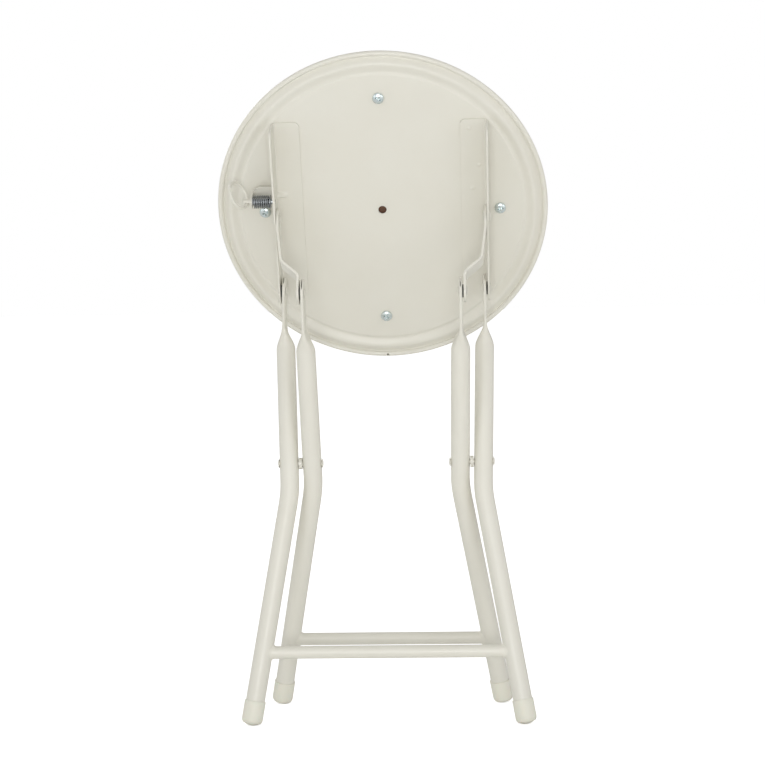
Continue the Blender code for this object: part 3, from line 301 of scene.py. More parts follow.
def moulded_cap(finishes):
    """Injection-moulded polyethylene: soft satin, slightly waxy, with a fine spark-eroded
    texture about 0.5 mm across and scuffs near the floor."""
    material, place, noise = start_material(
        "moulded_polyethylene",
        scuffs=(500.0, 3.0),                         # scuffs, about 2 mm
        texture=(2000.0, 2.0))
    tree = material.node_tree
    height = add_node(tree, "ShaderNodeSeparateXYZ", {"Vector": place}).outputs["Z"]
    low = add_node(tree, "ShaderNodeMapRange", {"Value": height, "From Min": 0.006,
                                                "From Max": 0.0})
    scuffed = add_node(tree, "ShaderNodeMath", {0: low, 1: noise["scuffs"]}, operation="MULTIPLY")
    return end_material(material, finishes.cap, [(scuffed, shaded(finishes.cap, 0.93))],
                        (noise["texture"], 0.42, 0.56), [(noise["texture"], 0.08, 0.0002)],
                        {"IOR": 1.51, "Subsurface Weight": 0.06, "Subsurface Scale": 0.002})


def grained_vinyl(finishes):
    """Calendered vinyl with an embossed leather grain: cells about 1.2 mm across, glossier on their
    tops than in the furrows, and painted shade that darkens the furrows."""
    material, place, noise = start_material(
        "embossed_vinyl",
        warp=(400.0, 2.0),                           # bends the cells, about 2.5 mm
        creases=(70.0, 4.0))                         # soft creases, about 14 mm
    tree = material.node_tree
    bent = add_node(tree, "ShaderNodeMix", {0: 0.0012, 4: place, 5: noise["warp"].outputs["Color"]},
                    data_type="VECTOR").outputs[1]
    cells = add_node(tree, "ShaderNodeTexVoronoi", {"Vector": bent, "Scale": 830.0},
                     feature="DISTANCE_TO_EDGE").outputs["Distance"]
    tops = add_node(tree, "ShaderNodeMapRange", {"Value": cells, "From Max": 0.25})
    # painted shade: the furrows between the cells are darkened to 0.93 of the vinyl
    return end_material(material, shaded(finishes.vinyl, 0.93), [(tops, finishes.vinyl)],
                        (tops, 0.62, 0.44),
                        [(noise["creases"], 0.12, 0.0012), (tops, 0.35, 0.00015)], {"IOR": 1.53})


def raw_plywood(finishes):
    """Raw plywood: brown face veneer with grain lines about 1.5 mm apart, drawn out along the
    board, and darker pores."""
    material, _, noise = start_material("raw_plywood", (1.0, 12.0, 12.0), grain=(55.0, 5.0),
                                        pores=(240.0, 2.0))
    noise["grain"].inputs["Roughness"].default_value = 0.6
    return end_material(material, shaded(finishes.board, 0.55), [(noise["grain"], finishes.board)],
                        (noise["pores"], 0.65, 0.85), [(noise["pores"], 0.3, 0.0003)], {})


def paper_floor(finishes):
    """Matt paper: plain, with a faint tooth; seen directly it glows enough to read as white,
    while the stool's shadow stays."""
    material, _, noise = start_material("backdrop_paper", tooth=(500.0, 3.0))
    tree = material.node_tree
    seen = add_node(tree, "ShaderNodeLightPath").outputs["Is Camera Ray"]
    glow = add_node(tree, "ShaderNodeMapRange", {"Value": seen, "To Max": 0.6})
    return end_material(material, shaded(finishes.paper, 0.98), [(noise["tooth"], finishes.paper)],
                        (noise["tooth"], 0.85, 0.95), [(noise["tooth"], 0.02, 0.0002)],
                        {"Emission Color": (1, 1, 1, 1), "Emission Strength": glow})


MATT_SKY, DIM_SKY = 0.64, 0.25          # the surround's strength on matt surfaces, and its least
HIGH_IN_FRONT = (0.0, -0.86, 0.5)       # where the brighter light in shiny surfaces comes from


def surround(tree):
    """Strength of the surround: white when seen directly, plain and soft on matt surfaces, and in
    shiny ones a studio lit from high in front and from the sides, its top and back dim."""
    path = add_node(tree, "ShaderNodeLightPath").outputs
    way = add_node(tree, "ShaderNodeTexCoord").outputs["Generated"]
    front = add_node(tree, "ShaderNodeVectorMath", {0: way, 1: HIGH_IN_FRONT},
                     operation="DOT_PRODUCT").outputs["Value"]
    side = add_node(tree, "ShaderNodeMath", {
        0: add_node(tree, "ShaderNodeSeparateXYZ", {"Vector": way})}, operation="ABSOLUTE")
    mirrored = DIM_SKY
    for toward, start, end, most in ((front, 0.74, 0.92, 1.25), (side, 0.5, 0.75, 1.0)):
        lit = add_node(tree, "ShaderNodeMapRange", {"Value": toward, "From Min": start,
                                                    "From Max": end, "To Max": most})
        mirrored = add_node(tree, "ShaderNodeMath", {0: mirrored, 1: lit}, operation="MAXIMUM")
    unseen = add_node(tree, "ShaderNodeMapRange", {
        "Value": path["Is Glossy Ray"], "To Min": MATT_SKY, "To Max": mirrored})
    seen = add_node(tree, "ShaderNodeMath", {
        0: path["Is Camera Ray"], 1: path["Is Transmission Ray"]}, operation="MAXIMUM")
    return add_node(tree, "ShaderNodeMapRange", {"Value": seen, "To Min": unseen, "To Max": 1.0})


FINISH_MAKERS = {
    "cream_paint": baked_enamel, "zinc": bright_zinc, "spring_steel": oiled_steel,
    "cream_plastic": moulded_cap, "cream_vinyl": grained_vinyl, "plywood": raw_plywood,
    # the near-black washer finish is painted shade for the gaps beside the tabs
    "paper": paper_floor, "shade_black": shade_black_steel,
}
MADE_FINISHES = {}


def finish(context, slot):
    """The material of a finish, made the first time that it is asked for."""
    if slot not in MADE_FINISHES:
        MADE_FINISHES[slot] = FINISH_MAKERS[slot](context.scene.stool_finishes)
    return MADE_FINISHES[slot]


# ---------------------------------------------------------------------------------------------
# Mesh tools


def new_object(name, data):
    obj = bpy.data.objects.new(name, data)
    bpy.context.scene.collection.objects.link(obj)
    return obj


def mesh_of(bm, name="piece"):
    mesh = bpy.data.meshes.new(name)
    bm.to_mesh(mesh)
    bm.free()
    return mesh


def flattened(obj):
    """Replaces an object by its plain mesh, with every modifier applied, and returns the mesh."""
    bpy.context.view_layer.update()
    depsgraph = bpy.context.evaluated_depsgraph_get()
    mesh = bpy.data.meshes.new_from_object(obj.evaluated_get(depsgraph), depsgraph=depsgraph)
    bpy.data.objects.remove(obj, do_unlink=True)
    return mesh


def finished(context, name, mesh, place, body, slot, nodes, smooth=math.radians(35), look=None):
    """Puts a piece's place in its mesh, gives it its finish, and ties it to its body."""
    mesh.transform(place)
    mesh.materials.clear()
    mesh.materials.append(finish(context, look or slot))
    mesh.polygons.foreach_set("material_index", [0] * len(mesh.polygons))
    mesh.shade_smooth()
    mesh.set_sharp_from_angle(angle=smooth)
    obj = new_object(name, mesh)
    if body:
        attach(obj, body)
    if nodes:
        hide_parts(*nodes)
    return obj


def tidy_normals(bm):
    bmesh.ops.remove_doubles(bm, verts=bm.verts, dist=1e-6)
    bmesh.ops.dissolve_degenerate(bm, edges=bm.edges, dist=1e-7)
    bmesh.ops.recalc_face_normals(bm, faces=bm.faces)


def loft(bm, rings, closed_ring=True):
    for near, far in zip(rings, rings[1:]):
        count = len(near)
        for index in range(count if closed_ring else count - 1):
            following = (index + 1) % count
            bm.faces.new((near[index], near[following], far[following], far[index]))


def spread(start, end, count):
    return [start + (end - start) * k / count for k in range(count + 1)]


def arc(start, end, steps):
    """Cosine and sine at even steps from one angle to another, in degrees."""
    angles = [math.radians(angle) for angle in spread(start, end, steps)]
    return [(math.cos(angle), math.sin(angle)) for angle in angles]


def circle(radius, steps):
    return [(radius * c, radius * s) for c, s in arc(0, 360, steps)[:-1]]


def turned(profile, steps, closed=False):
    """A profile of (radius, height), turned about Z."""
    bm = bmesh.new()
    rings = [[bm.verts.new((x, y, height)) for x, y in circle(radius, steps)]
             for radius, height in profile]
    if closed:
        rings.append(rings[0])
    loft(bm, rings)
    tidy_normals(bm)
    return mesh_of(bm)


def rounded(points, radius, steps=4):
    """Rounds the inner corners of a run of (a, b) points."""
    result = [points[0]]
    for before, corner, after in zip(points, points[1:], points[2:]):
        here = Vector(corner)
        back = Vector(before) - here
        ahead = Vector(after) - here
        reach = min(radius, back.length / 2, ahead.length / 2)
        start = here + back.normalized() * reach
        end = here + ahead.normalized() * reach
        for k in range(steps + 1):
            share = k / steps
            point = start.lerp(here, share).lerp(here.lerp(end, share), share)
            result.append(tuple(point))
    result.append(points[-1])
    return result


def drilled(mesh, cutters):
    """Cuts each cutter mesh from a mesh."""
    for cutter in cutters:
        piece = new_object("drilled", mesh)
        tool = new_object("cutter", cutter)
        modifier = piece.modifiers.new("Cut", "BOOLEAN")
        modifier.object = tool
        mesh = flattened(piece)
        bpy.data.objects.remove(tool, do_unlink=True)
    return mesh


def across(side):
    """Turns a piece's own Z axis outwards, across the stool."""
    return Matrix.Rotation(side * math.pi / 2, 4, "Y")


def cylinder(radius, low, high, place, steps=48):
    mesh = turned([(0, low), (radius, low), (radius, high), (0, high)], steps)
    mesh.transform(place)
    return mesh


def ease(share):
    return share * share * (3 - 2 * share)


def sheet_piece(rows, thickness, edge):
    """Gives a middle surface, in rows of points, its thickness and eases its edges."""
    bm = bmesh.new()
    loft(bm, [[bm.verts.new(point) for point in row] for row in rows], closed_ring=False)
    bmesh.ops.recalc_face_normals(bm, faces=bm.faces)
    obj = new_object("sheet", mesh_of(bm))
    wall = obj.modifiers.new("Sheet", "SOLIDIFY")
    wall.thickness = thickness
    wall.offset = 0.0
    wall.use_even_offset = True
    bevel = obj.modifiers.new("Edge", "BEVEL")
    bevel.width = edge
    bevel.segments = 3
    bevel.limit_method = "ANGLE"
    bevel.angle_limit = math.radians(50)
    return flattened(obj)


# ---------------------------------------------------------------------------------------------
# Geometry node trees


def new_tree(name, inputs):
    """A geometry node tree with named inputs, its input node and one geometry output."""
    tree = bpy.data.node_groups.new(name, "GeometryNodeTree")
    for label, kind in inputs:
        tree.interface.new_socket(label, in_out="INPUT", socket_type="NodeSocket" + kind)
    tree.interface.new_socket("Geometry", in_out="OUTPUT", socket_type="NodeSocketGeometry")
    return tree, tree.nodes.new("NodeGroupInput").outputs


def end_tree(tree, geometry, material):
    """Makes instances real, sets the material, and ends the tree."""
    real = add_node(tree, "GeometryNodeRealizeInstances", {"Geometry": geometry})
    painted = add_node(tree, "GeometryNodeSetMaterial", {"Geometry": real, "Material": material})
    add_node(tree, "NodeGroupOutput", {"Geometry": painted})


def grown(tree, values):
    """Runs a tree with its inputs set, and returns the plain mesh that it makes."""
    host = new_object(tree.name, bpy.data.meshes.new(tree.name))
    modifier = host.modifiers.new(tree.name, "NODES")
    modifier.node_group = tree
    for item in tree.interface.items_tree:
        if item.item_type == "SOCKET" and item.in_out == "INPUT":
            modifier[item.identifier] = values[item.name]
    return flattened(host)


def fastener_tree():
    """Copies of a fastener at even steps round a circle, each tilted and spun by its number."""
    tree, given = new_tree("fastener_pattern", [
        ("Fastener", "Object"), ("Count", "Int"), ("Circle Radius", "Float"),
        ("Circle Step", "Float"), ("First Tilt", "Float"), ("Tilt Step", "Float"),
        ("First Spin", "Float"), ("Spin Step", "Float"), ("Material", "Material")])
    index = add_node(tree, "GeometryNodeInputIndex")
    angle = add_node(tree, "ShaderNodeMath", {0: index, 1: given["Circle Step"]},
                     operation="MULTIPLY")
    first_spot = add_node(tree, "ShaderNodeCombineXYZ", {"X": given["Circle Radius"]})
    spot = add_node(tree, "ShaderNodeVectorRotate", {"Vector": first_spot, "Angle": angle},
                    rotation_type="Z_AXIS")
    spots = add_node(tree, "GeometryNodePoints", {"Count": given["Count"], "Position": spot})
    tilt, spin = [add_node(tree, "ShaderNodeMath", {
        0: index, 1: given[turn + " Step"], 2: given["First " + turn]},
        operation="MULTIPLY_ADD") for turn in ("Tilt", "Spin")]
    facing = add_node(tree, "ShaderNodeCombineXYZ", {"Y": tilt, "Z": spin})
    piece = add_node(tree, "GeometryNodeObjectInfo", {"Object": given["Fastener"]})
    copies = add_node(tree, "GeometryNodeInstanceOnPoints", {
        "Points": spots, "Instance": piece.outputs["Geometry"], "Rotation": facing})
    end_tree(tree, copies, given["Material"])
    return tree


def spring_tree():
    """A wire coil along Z whose end turns lie closed against each other."""
    tree, given = new_tree("coil_spring", [
        ("Turns", "Float"), ("Coil Radius", "Float"), ("Wire Radius", "Float"),
        ("Length", "Float"), ("Closed Pitch", "Float"), ("Closed Share", "Float"),
        ("Material", "Material")])
    coil = add_node(tree, "GeometryNodeCurveSpiral", {
        "Resolution": 40, "Rotations": given["Turns"], "Start Radius": given["Coil Radius"],
        "End Radius": given["Coil Radius"], "Height": 1.0})
    place = add_node(tree, "GeometryNodeInputPosition")
    split = add_node(tree, "ShaderNodeSeparateXYZ", {"Vector": place}).outputs
    last = add_node(tree, "ShaderNodeMath", {0: 1.0, 1: given["Closed Share"]},
                    operation="SUBTRACT")
    opened = add_node(tree, "ShaderNodeMapRange", {
        "Value": split["Z"], "From Min": given["Closed Share"], "From Max": last})
    stacked = add_node(tree, "ShaderNodeMath", {0: given["Turns"], 1: given["Closed Pitch"]},
                       operation="MULTIPLY")
    opening = add_node(tree, "ShaderNodeMath", {0: given["Length"], 1: stacked},
                       operation="SUBTRACT")
    closed = add_node(tree, "ShaderNodeMath", {0: split["Z"], 1: stacked}, operation="MULTIPLY")
    along = add_node(tree, "ShaderNodeMath", {0: opened, 1: opening, 2: closed},
                     operation="MULTIPLY_ADD")
    moved = add_node(tree, "ShaderNodeCombineXYZ", {"X": split["X"], "Y": split["Y"], "Z": along})
    shaped = add_node(tree, "GeometryNodeSetPosition", {"Geometry": coil, "Position": moved})
    section = add_node(tree, "GeometryNodeCurvePrimitiveCircle", {"Resolution": 14,
                                                                  "Radius": given["Wire Radius"]})
    wire = add_node(tree, "GeometryNodeCurveToMesh", {"Curve": shaped, "Profile Curve": section,
                                                      "Fill Caps": True})
    end_tree(tree, wire, given["Material"])
    return tree


def turned_tree():
    """A closed section carried round a circle, as for a pressed pan or a ring of wire."""
    tree, given = new_tree("turned_section", [
        ("Section", "Object"), ("Circle Radius", "Float"), ("Steps", "Int"),
        ("Material", "Material")])
    rail = add_node(tree, "GeometryNodeCurvePrimitiveCircle", {"Resolution": given["Steps"],
                                                               "Radius": given["Circle Radius"]})
    upright = add_node(tree, "GeometryNodeSetCurveNormal", {"Curve": rail}, mode="Z_UP")
    section = add_node(tree, "GeometryNodeObjectInfo", {"Object": given["Section"]})
    outline = add_node(tree, "GeometryNodeMeshToCurve", {"Mesh": section.outputs["Geometry"]})
    swept = add_node(tree, "GeometryNodeCurveToMesh", {"Curve": upright, "Profile Curve": outline})
    end_tree(tree, swept, given["Material"])
    return tree


def carried_round(context, points, steps, slot):
    """Turns a closed section of (radius, height) about Z with the section tree."""
    middle = sum(radius for radius, _ in points) / len(points)
    bm = bmesh.new()
    verts = [bm.verts.new((radius - middle, -height, 0)) for radius, height in points]
    for first, second in zip(verts, verts[1:] + verts[:1]):
        bm.edges.new((first, second))
    section = new_object("section", mesh_of(bm))
    mesh = grown(turned_tree(), {"Section": section, "Circle Radius": middle, "Steps": steps,
                                 "Material": finish(context, slot)})
    bpy.data.objects.remove(section, do_unlink=True)
    found = (min(v.co.z for v in mesh.vertices), max(v.co.xy.length for v in mesh.vertices))
    wanted = (min(height for _, height in points), max(radius for radius, _ in points))
    if max(abs(a - b) for a, b in zip(found, wanted)) > 0.01 * MM:
        raise RuntimeError(f"the turned section spans {found}, wanted {wanted}")
    bm = bmesh.new()
    bm.from_mesh(mesh)
    tidy_normals(bm)
    bm.to_mesh(mesh)
    bm.free()
    return mesh


def placed_fasteners(context, base, slot, **values):
    """A mesh of copies of a base mesh, laid out by the fastener tree."""
    fastener = new_object("fastener", base)
    settings = {"Fastener": fastener, "Count": 1, "Circle Radius": 0.0, "Circle Step": 0.0,
                "First Tilt": 0.0, "Tilt Step": 0.0, "First Spin": 0.0, "Spin Step": 0.0,
                "Material": finish(context, slot)}
    settings.update(values)
    mesh = grown(fastener_tree(), settings)
    bpy.data.objects.remove(fastener, do_unlink=True)
    return mesh


# ---------------------------------------------------------------------------------------------
# Tube frames


class TubeFrame:
    """The sizes in which the two tube frames differ."""

    def __init__(self, name, axis, tab, pinch_in, bend, splay_out, bend_drop, bar_drop):
        self.name, self.axis, self.tab = name, axis, tab
        self.body = name + "_frame"
        self.pinch, self.bend, self.foot = tab - pinch_in, bend, bend + splay_out
        self.bend_drop, self.bar_drop = bend_drop, bar_drop
        self.splay = math.atan(splay_out / (LOWER_REACH - bend_drop))
        straight = UPPER_REACH - PINCH_TOP - PINCH_LENGTH + bend_drop
        self.lean = math.atan((self.pinch - bend) / straight)

    def upper(self, height):
        return self.bend + (height + self.bend_drop) * math.tan(self.lean)

    def lower(self, drop):
        return self.bend + (drop - self.bend_drop) * math.tan(self.splay)


FRAMES = (
    TubeFrame("outer", OUTER_AXIS, OUTER_TAB, pinch_in=1.0 * MM, bend=96.7 * MM,
              splay_out=39.9 * MM, bend_drop=29.0 * MM, bar_drop=187.8 * MM),
    TubeFrame("inner", INNER_AXIS, INNER_TAB, pinch_in=0.9 * MM, bend=73.7 * MM,
              splay_out=41.4 * MM, bend_drop=24.4 * MM, bar_drop=188.9 * MM),
)
QUARTER = 12                # points of a tube's section in a quarter turn
LEG_STEPS = 24              # rings along a leg's bend, its pinch and its round end
ROUND_END = 88.0            # degrees drawn of a round end, just short of a point


def flat_section(thick, wide):
    """Section of a flattened tube as (across, along its width): flats with round edges."""
    straight = max(wide - thick, 0.0)
    flats = QUARTER // 2
    first = [(thick, y) for y in spread(0.0, straight, flats)[:-1]]
    first += [(thick * c, straight + thick * s) for c, s in arc(0, 90, QUARTER - flats)]
    upper = first + [(-x, y) for x, y in reversed(first[:-1])]
    return upper + [(x, -y) for x, y in reversed(upper[1:-1])]


def leg_stations(tube_frame, sizes):
    """Middle of a leg from its foot to its tab, as (across, along, lean, flatness)."""
    splay, lean, radius = tube_frame.splay, tube_frame.lean, sizes.bend_radius
    foot_drop = LOWER_REACH - FOOT_FLOOR * math.cos(splay)
    turn = splay + lean
    tangent = radius * math.tan(turn / 2)
    centre_x = tube_frame.bend + tangent * math.sin(splay) + radius * math.cos(splay)
    centre_t = -tube_frame.bend_drop - tangent * math.cos(splay) + radius * math.sin(splay)
    stations = [(tube_frame.lower(foot_drop), -foot_drop, -splay, 0.0)]
    for angle in spread(-splay, lean, LEG_STEPS):
        stations.append((centre_x - radius * math.cos(angle), centre_t + radius * math.sin(angle),
                         angle, 0.0))
    bottom = UPPER_REACH - PINCH_TOP - PINCH_LENGTH
    for share in spread(0, 1, LEG_STEPS):
        stations.append((tube_frame.pinch + (tube_frame.tab - tube_frame.pinch) * ease(share),
                         bottom + PINCH_LENGTH * share, lean * (1 - share), ease(share)))
    return stations


def leg_mesh(tube_frame, side, sizes):
    """Bent tube with a flattened, round-ended tab, its rim slit where the two walls meet."""
    bm = bmesh.new()
    thick, wide = sizes.tab_half_thickness, sizes.tab_half_width

    def ring(x, t, lean, section):
        points = [(x + a * math.cos(lean), b, t - a * math.sin(lean)) for a, b in section]
        return [bm.verts.new((side * px, py, pz)) for px, py, pz in points]

    rings = []
    for x, t, lean, flat in leg_stations(tube_frame, sizes):
        section = [(a + (c - a) * flat, b + (d - b) * flat) for (a, b), (c, d) in
                   zip(circle(sizes.tube_radius, 4 * QUARTER), flat_section(thick, wide))]
        rings.append(ring(x, t, lean, section))
    for c, s in arc(0, ROUND_END, LEG_STEPS):
        rings.append(ring(tube_frame.tab, UPPER_REACH + wide * s, 0.0,
                          flat_section(thick, max(wide * c, thick))))
    loft(bm, rings)
    bm.faces.new(rings[0])
    bm.faces.new(rings[-1])
    tidy_normals(bm)
    slit = bmesh.new()
    bmesh.ops.create_cube(slit, size=1.0)
    bmesh.ops.transform(slit, matrix=Matrix.Translation((
        side * tube_frame.tab, 0, UPPER_REACH + 0.5 * wide + 10 * MM)) @ Matrix.Diagonal(
            (sizes.tab_slit, 4 * wide, 20 * MM, 1)), verts=slit.verts)
    return drilled(mesh_of(bm), [mesh_of(slit)])


class STOOL_OT_legs(bpy.types.Operator):
    """Makes the four bent legs with their flattened top ends"""
    bl_idname = "stool.legs"
    bl_label = "Legs"

    def execute(self, context):
        for tube_frame in FRAMES:
            for name, side in SIDES:
                node = f"leg_{tube_frame.name}_{name}"
                mesh = leg_mesh(tube_frame, side, context.scene.stool_sizes)
                finished(context, node + "_tube", mesh, tube_frame.axis, tube_frame.body,
                         "cream_paint", [node], math.radians(60))
        return {"FINISHED"}


class STOOL_OT_crossbars(bpy.types.Operator):
    """Makes the two crossbars, with their welds flared against the legs"""
    bl_idname = "stool.crossbars"
    bl_label = "Crossbars"

    def execute(self, context):
        sizes = context.scene.stool_sizes
        flare_length = 3.0 * MM
        for tube_frame in FRAMES:
            bm = bmesh.new()
            reach = tube_frame.lower(tube_frame.bar_drop)

            def ring(side, off, radius):
                points = []
                for y, z in circle(radius, 64):
                    inward = math.sqrt(max(sizes.tube_radius ** 2 - y * y, 0.0))
                    x = reach - z * math.tan(tube_frame.splay) - inward / math.cos(tube_frame.splay)
                    points.append(bm.verts.new((side * (x - off), y, z)))
                return points

            offsets = [-0.5 * MM] + spread(0.0, flare_length, 10) + [8.0 * MM, 40.0 * MM]
            half = []
            for side in (-1, 1):
                rings = []
                for off in offsets:
                    swell = max(1 - max(off, 0.0) / flare_length, 0.0) ** 2
                    rings.append(ring(side, off, sizes.bar_radius + sizes.weld_flare * swell))
                half.append(rings)
            loft(bm, half[0] + list(reversed(half[1])))
            bm.faces.new(half[0][0])
            bm.faces.new(half[1][0])
            tidy_normals(bm)
            node = f"crossbar_{tube_frame.name}"
            place = tube_frame.axis @ Matrix.Translation((0, 0, -tube_frame.bar_drop))
            finished(context, node + "_tube", mesh_of(bm), place, tube_frame.body, "cream_paint",
                     [node])
        return {"FINISHED"}


def cap_profile(sizes):
    """Outside of a foot cap from its lip round its sole, with its bore against the tube."""
    bore = sizes.tube_radius + 0.25 * MM
    lip = sizes.tube_radius + 0.03 * MM               # grips the tube
    outer = bore + 0.75 * MM
    top = sizes.cap_length
    sole = 5.0 * MM                                   # thickness below the tube
    dome = 14.0 * MM                                  # radius to which the sole is domed
    corner = outer * 0.28
    shoulder = 1.6 * corner
    flat_end = outer - corner
    rise = dome - math.sqrt(dome ** 2 - flat_end ** 2)
    points = [(0, sole), (bore, sole), (bore, top - 2 * MM), (lip, top - 1.2 * MM),
              (lip, top - 0.1 * MM), (lip + 0.1 * MM, top), (outer - 0.3 * MM, top),
              (outer - 0.08 * MM, top - 0.1 * MM), (outer, top - 0.4 * MM),
              (outer, rise + shoulder + 2 * MM)]
    points += [(flat_end + corner * c, rise + shoulder * (1 - s)) for c, s in arc(0, 90, 12)]
    points += [(radius, dome - math.sqrt(dome ** 2 - radius ** 2))
               for radius in spread(flat_end, 0.0, 12)[1:]]
    return points


class STOOL_OT_foot_caps(bpy.types.Operator):
    """Makes the four moulded caps, worn flat where they stand"""
    bl_idname = "stool.foot_caps"
    bl_label = "Foot caps"

    def execute(self, context):
        for tube_frame in FRAMES:
            for name, side in SIDES:
                mesh = turned(cap_profile(context.scene.stool_sizes), 64)
                place = tube_frame.axis @ Matrix.Translation(
                    (side * tube_frame.foot, 0, -LOWER_REACH)) @ Matrix.Rotation(
                        -side * tube_frame.splay, 4, "Y")
                node = f"foot_{tube_frame.name}_{name}"
                cap = finished(context, node + "_cap", mesh, place, tube_frame.body,
                               "cream_plastic", [node])
                for vertex in cap.data.vertices:
                    vertex.co.z = max(vertex.co.z, 0.0)
        return {"FINISHED"}


# ---------------------------------------------------------------------------------------------
# Seat


def pan_section(sizes):
    """Closed section of the pan: underside, rolled edge, and the upper side of the sheet."""
    roll_centre = sizes.pan_radius - sizes.roll_radius
    valley = roll_centre - 3.0 * MM
    crest = valley - 7.6 * MM
    channel = crest - 8.0 * MM
    flat = channel - 3.2 * MM
    bends = [(flat, 0.0), (channel, -1.2 * MM), (crest, 1.2 * MM), (valley, -2.8 * MM)]
    hole, hole_edge = 4.1 * MM, 4.3 * MM
    under = [(hole, -0.25 * MM)] + [(radius, 0.0) for radius in spread(hole_edge, flat, 24)]
    for (start_r, start_h), (end_r, end_h) in zip(bends, bends[1:]):
        under += [(start_r + (end_r - start_r) * share, start_h + (end_h - start_h) * ease(share))
                  for share in spread(0, 1, 16)[1:]]
    roll_height = -2.1 * MM
    roll = [(roll_centre + sizes.roll_radius * c, roll_height + sizes.roll_radius * s)
            for c, s in arc(190, -90, 32)]
    upper = [(radius, height - sizes.pan_sheet) for radius, height in reversed(under)]
    return under + roll + upper


class STOOL_OT_seat_pan(bpy.types.Operator):
    """Makes the pressed seat pan with its channel, bead, valley and rolled edge"""
    bl_idname = "stool.seat_pan"
    bl_label = "Seat pan"

    def execute(self, context):
        sizes = context.scene.stool_sizes
        mesh = carried_round(context, pan_section(sizes), 224, "cream_paint")
        rim = Matrix.Translation((0, sizes.roll_radius - sizes.pan_radius, 0))
        mesh = drilled(mesh, [cylinder(1.4 * MM, -4.0 * MM, 5.0 * MM, rim, 32)])
        finished(context, "seat_pan_pressing", mesh, SEAT, "seat", "cream_paint", ["seat_pan"])
        return {"FINISHED"}


class STOOL_OT_board(bpy.types.Operator):
    """Gives the plywood board under the pan its veneer"""
    bl_idname = "stool.board"
    bl_label = "Seat board"

    def execute(self, context):
        board = frame["nodes"]["seat_board"]
        board.data.materials.clear()
        board.data.materials.append(finish(context, "plywood"))
        return {"FINISHED"}


def cushion_side(sizes, inset):
    """Cushion from its lower edge over its widest point to the crown, moved in by inset."""
    edge = -5.3 * MM
    crown = edge - sizes.cushion_height + inset
    widest = edge - 4.2 * MM
    radius = sizes.cushion_radius
    points = [(radius - 4.5 * MM - inset, edge), (radius - 1.4 * MM - inset, edge - 1.7 * MM),
              (radius - inset, widest)]
    drop = 0.72 * (widest - crown)
    points += [(radius - inset - 22 * MM * (1 - c), widest - drop * s)
               for c, s in arc(0, 90, 12)[1:]]
    start_r, start_h = points[-1]
    points += [(start_r * (1 - share), start_h + (crown - start_h) * math.sin(share * math.pi / 2))
               for share in spread(0, 1, 16)[1:]]
    return points


PUFF_FRAMES = 20
PUFF_PRESSURE = 4.0
FREE_ABOVE = 9.0 * MM       # the cover is held below this height, more and more
HOLD_FADE = 4.0 * MM


def swelled(context, obj, pressure, most):
    """Puffs a closed pad out with cloth under pressure, held at its lower edge."""
    rest = [vertex.co.copy() for vertex in obj.data.vertices]
    held = obj.vertex_groups.new(name="tucked")
    for vertex in obj.data.vertices:
        height = -vertex.co.z
        weight = min(max((FREE_ABOVE - height) / HOLD_FADE, 0.0), 1.0)
        held.add([vertex.index], weight, "REPLACE")
    cloth = obj.modifiers.new("Vinyl", "CLOTH")
    settings = cloth.settings
    settings.use_pressure = True
    settings.uniform_pressure_force = pressure
    settings.effector_weights.gravity = 0.0
    settings.vertex_group_mass = "tucked"
    settings.tension_stiffness = 25
    settings.compression_stiffness = 25
    settings.bending_stiffness = 3
    settings.quality = 6
    cloth.collision_settings.use_collision = False
    cloth.point_cache.frame_start = 1
    cloth.point_cache.frame_end = PUFF_FRAMES
    for number in range(1, PUFF_FRAMES + 1):
        context.scene.frame_set(number)
    mesh = flattened(obj)
    context.scene.frame_set(1)
    for vertex, start in zip(mesh.vertices, rest):
        step = vertex.co - start
        if step.length > most:
            vertex.co = start + step * (most / step.length)
    return mesh


class STOOL_OT_cushion(bpy.types.Operator):
    """Makes the padded vinyl top: a crowned form puffed out under its cover"""
    bl_idname = "stool.cushion"
    bl_label = "Cushion"

    def execute(self, context):
        sizes = context.scene.stool_sizes
        inset = 1.6 * MM
        profile = [(0, -5.9 * MM)] + [(radius, height - 0.6 * MM)
                                      for radius, height in cushion_side(sizes, inset)]
        pad = new_object("pad", turned(profile, 96))
        remesh = pad.modifiers.new("Even", "REMESH")
        remesh.mode = "VOXEL"
        remesh.voxel_size = 5.0 * MM
        pad = new_object("pad", flattened(pad))
        mesh = swelled(context, pad, PUFF_PRESSURE, sizes.puff)
        pad = new_object("pad", mesh)
        smooth = pad.modifiers.new("Smooth", "SUBSURF")
        smooth.levels = smooth.render_levels = 1
        mesh = flattened(pad)
        if mesh_is_inside_out(mesh):
            mesh.flip_normals()
        cover = finished(context, "seat_cushion", mesh, SEAT, "seat", "cream_vinyl",
                         ["seat_cover", "seat_foam"], math.pi)
        return {"FINISHED"}


def mesh_is_inside_out(mesh):
    bm = bmesh.new()
    bm.from_mesh(mesh)
    volume = bm.calc_volume(signed=True)
    bm.free()
    return volume < 0


SCREW_CLEARANCE = 5.9 * MM  # from a rail's wall to a screw's head


